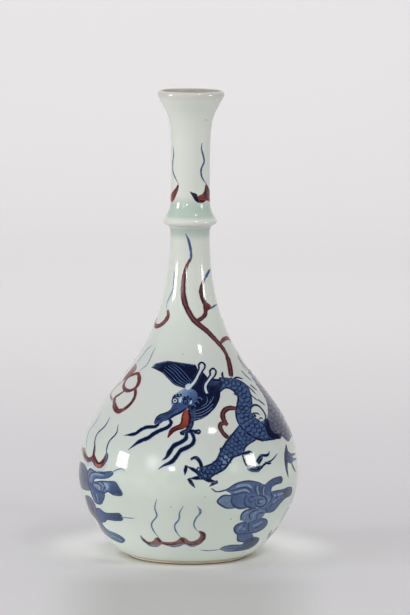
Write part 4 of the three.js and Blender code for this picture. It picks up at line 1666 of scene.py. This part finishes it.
strokes = Painting("dragon_spines_and_claws", cobalt)
strokes.lines(SPINES, load=0.95, tip=0.9, tail=0.2)
strokes.lines(CLAWS, load=1, edge=0.3, tip=0.95, tail=0.08, taper=2.2)
strokes.wash(FAR_NAIL, 0.8)
strokes.wash(FAR_PALM, 0.72)
strokes.lines(FAR_FINGERS, load=0.8, edge=0.4, tip=0.8)
strokes.lines(ELBOW_FLAMES, load=0.95, tip=0.8, tail=0.3)
strokes.finish()


# Specks
# A few iron specks that came up through the glaze in the firing, pale brown and less than a
# millimetre wide.

SPECKS = [(206, 120), (183, 354), (171, 507), (231, 519), (205, 497)]
SPECK_RADIUS, SPECK_LOAD = 0.7, 0.4
SPECKS_BACK_TURN = 170
for name, turn in (("iron_specks", 0), ("iron_specks_back", SPECKS_BACK_TURN)):
    specks = Painting(name, iron)
    for centre in SPECKS:
        specks.disc(centre, SPECK_RADIUS, SPECK_LOAD, lift=0.05)
    specks.finish(math.radians(turn))


# Floor and light
# A pale paper sweep under soft studio boxes. None of it is part of the vase. The sheet has
# painted light round the foot and painted shadow in front of it, as the photo's mixed light
# leaves it.

PAPER_FLOOR = srgb(205, 203, 205)
PAPER_WALL = srgb(231, 229, 230)
# Painted light: the sheet is made paler round the foot, against the shade under the belly
PAPER_NEAR_PAINTED_LIGHT = srgb(245, 244, 243)
# Painted shadow: the sheet is made greyer in front of the vase
PAPER_FRONT_PAINTED_SHADOW = srgb(181, 181, 180)

# Where the sheet's tones, its painted light and its painted shadow change, in metres from the
# vase: over its depth, round the foot, and in front of it, along Y and to either side
WALL_RISE = (-0.1, 1.1)
NEAR_CENTRE = (0, 0.02, 0)
NEAR_FADE = (0.085, 0.045)
FRONT_FADE = (-0.04, -0.09)
FRONT_SIDES = (0.075, 0.03)
paper, tree, shader = new_material("paper", 0.9)
place, split = object_place(tree)
rise = ramp(tree, split.outputs["Y"], *WALL_RISE)
sheet = mix_colour(tree, rise, PAPER_FLOOR, PAPER_WALL)
distance = tree.nodes.new("ShaderNodeVectorMath")
distance.operation = "DISTANCE"
distance.inputs[1].default_value = NEAR_CENTRE
tree.links.new(place, distance.inputs[0])
# Painted light round the foot
painted_light_near = ramp(tree, distance.outputs["Value"], *NEAR_FADE)
sheet = mix_colour(tree, painted_light_near, sheet, PAPER_NEAR_PAINTED_LIGHT)
aside = tree.nodes.new("ShaderNodeMath")
aside.operation = "ABSOLUTE"
tree.links.new(split.outputs["X"], aside.inputs[0])
# Painted shadow in front of the vase, fading out to either side
ahead = ramp(tree, split.outputs["Y"], *FRONT_FADE)
front = product(tree, ahead, ramp(tree, aside.outputs[0], *FRONT_SIDES))
tree.links.new(mix_colour(tree, front, sheet, PAPER_FRONT_PAINTED_SHADOW), shader.inputs["Base Color"])
# Seen from behind the paper is clear, so that views from the back show the vase
rear = tree.nodes.new("ShaderNodeNewGeometry").outputs["Backfacing"]
clear = tree.nodes.new("ShaderNodeBsdfTransparent")
either = tree.nodes.new("ShaderNodeMixShader")
tree.links.new(rear, either.inputs[0])
tree.links.new(shader.outputs[0], either.inputs[1])
tree.links.new(clear.outputs[0], either.inputs[2])
tree.links.new(either.outputs[0], tree.nodes["Material Output"].inputs["Surface"])

SWEEP_HALF_WIDTH = 3
SWEEP_FRONT = -2.5
SWEEP_DEPTH = 1.4
SWEEP_RADIUS = 0.8
SWEEP_TOP = 3.0
SWEEP_STEPS = 16
bm = bmesh.new()
edge = [bm.verts.new((x, SWEEP_FRONT, 0)) for x in (-SWEEP_HALF_WIDTH, SWEEP_HALF_WIDTH)]
sides = [bm.edges.new(edge)]
stops = [(SWEEP_DEPTH, 0)]
for step in range(1, SWEEP_STEPS + 1):
    turn = math.pi / 2 * step / SWEEP_STEPS
    stops.append((SWEEP_DEPTH + SWEEP_RADIUS * math.sin(turn), SWEEP_RADIUS * (1 - math.cos(turn))))
stops.append((SWEEP_DEPTH + SWEEP_RADIUS, SWEEP_TOP))
for y, z in stops:
    grown = bmesh.ops.extrude_edge_only(bm, edges=sides)["geom"]
    for vert in (g for g in grown if isinstance(g, bmesh.types.BMVert)):
        vert.co = (vert.co.x, y, z)
    sides = [g for g in grown if isinstance(g, bmesh.types.BMEdge)]
bm.faces.ensure_lookup_table()
bm.normal_update()
if bm.faces[0].normal.z < 0:
    bmesh.ops.reverse_faces(bm, faces=bm.faces)
for face in bm.faces:
    face.smooth = True
sweep = piece_from(bm, "sweep")
sweep.data.materials.append(paper)


def mirrored(px, py, distance):
    """Where a lamp has to stand for the glaze to mirror it at a pixel of the photo."""
    spot = on_vase(px, py)
    normal = surface.find_nearest(spot)[1]
    ray = (spot - eye).normalized()
    return spot + (ray - normal * 2 * ray.dot(normal)) * distance


def softbox(name, place, look, width, height, power, mirrors=True):
    """A lamp; the broad ones aren't mirrored in the glaze, as they aren't in the photo."""
    lamp = bpy.data.lights.new(name, "AREA")
    lamp.shape = "RECTANGLE"
    lamp.size, lamp.size_y, lamp.energy = width, height, power
    box = bpy.data.objects.new(name, lamp)
    bpy.context.collection.objects.link(box)
    place, look = Vector(place), Vector(look)
    turn = (look - place).to_track_quat("-Z", "Y").to_matrix().to_4x4()
    box.matrix_world = Matrix.Translation(place) @ turn
    box.visible_glossy = mirrors


def glow_card(name, place, radius, strength):
    """A card that glows in its middle though it is no lamp, giving a soft round sheen with no edge."""
    bm = bmesh.new()
    bmesh.ops.create_circle(bm, cap_ends=True, radius=radius, segments=48)
    material, tree, shader = new_material(name, 1.0)
    place_node = tree.nodes.new("ShaderNodeTexCoord").outputs["Object"]
    reach = tree.nodes.new("ShaderNodeVectorMath")
    reach.operation = "LENGTH"
    tree.links.new(place_node, reach.inputs[0])
    shade = mix_colour(tree, ramp(tree, reach.outputs["Value"], radius, 0.0), (0, 0, 0, 1), (1, 1, 1, 1))
    tree.links.new(shade, shader.inputs["Emission Color"])
    shader.inputs["Emission Strength"].default_value = strength
    shader.inputs["Base Color"].default_value = (0, 0, 0, 1)
    card = piece_from(bm, name)
    card.data.materials.append(material)
    turn = (Vector(VASE_MIDDLE) - place).to_track_quat("Z", "Y").to_matrix().to_4x4()
    card.matrix_world = Matrix.Translation(place) @ turn


VASE_MIDDLE = (0, 0, 0.1)
LAMP_DISTANCE = 2.0

# Lamps that the glaze mirrors: the pixel where each shows, its width, height and power
MIRRORED_LAMPS = {
    "left_box": ((122.6, 460.6), 0.46, 0.42, 13),
    "right_box": ((251.4, 460.4), 0.42, 0.4, 7),
    "low_box": ((171, 469.4), 0.2, 0.12, 1.6),
    "front_box": ((213, 430), 0.3, 0.1, 2),
    "high_box": ((200, 350), 0.14, 0.16, 1.6),
}
for name, (pixel, *shape) in MIRRORED_LAMPS.items():
    softbox(name, mirrored(*pixel, LAMP_DISTANCE), VASE_MIDDLE, *shape)

# Broad lamps: where each stands, what it looks at, its width, height and power
BROAD_LAMPS = {
    "left_fill": ((-1.6, -1.4, 0.7), VASE_MIDDLE, 1.0, 1.2, 7),
    "front_fill": ((0.1, -2.2, 1.1), VASE_MIDDLE, 1.0, 0.8, 9.5),
    "top_box": ((0, 0.1, 1.8), (0, 0, 0), 1.4, 1.4, 13),
    "backdrop_box": ((0, 1.3, 1.3), (0, 2.1, 0.1), 2.4, 0.5, 6.5),
}
for name, lamp in BROAD_LAMPS.items():
    softbox(name, *lamp, mirrors=False)

# Sheens: the pixel where each shows, its radius and its strength
GLOW_CARDS = {
    "left_glow": ((152.5, 461), 0.42, 4.5),
    "right_glow": ((235, 467), 0.3, 2.0),
}
for name, (pixel, radius, strength) in GLOW_CARDS.items():
    glow_card(name, mirrored(*pixel, LAMP_DISTANCE), radius, strength)

# The surroundings: what lights the vase, what the glaze mirrors and what the camera sees
SKY_LIGHT = (1, 1, 1, 1)
SKY_MIRRORED = (0.2, 0.2, 0.2, 1)
SKY_SEEN = (2.3, 2.27, 2.28, 1)
SKY_STRENGTH = 0.34
world = bpy.data.worlds.new("studio")
bpy.context.scene.world = world
world.use_nodes = True
background = world.node_tree.nodes["Background"]
seen = world.node_tree.nodes.new("ShaderNodeLightPath")
sky = world.node_tree
sky_colour = mix_colour(sky, seen.outputs["Is Glossy Ray"], SKY_LIGHT, SKY_MIRRORED)
sky_colour = mix_colour(sky, seen.outputs["Is Camera Ray"], sky_colour, SKY_SEEN)
sky.links.new(sky_colour, background.inputs["Color"])
background.inputs["Strength"].default_value = SKY_STRENGTH
bpy.context.scene.view_settings.view_transform = "Standard"
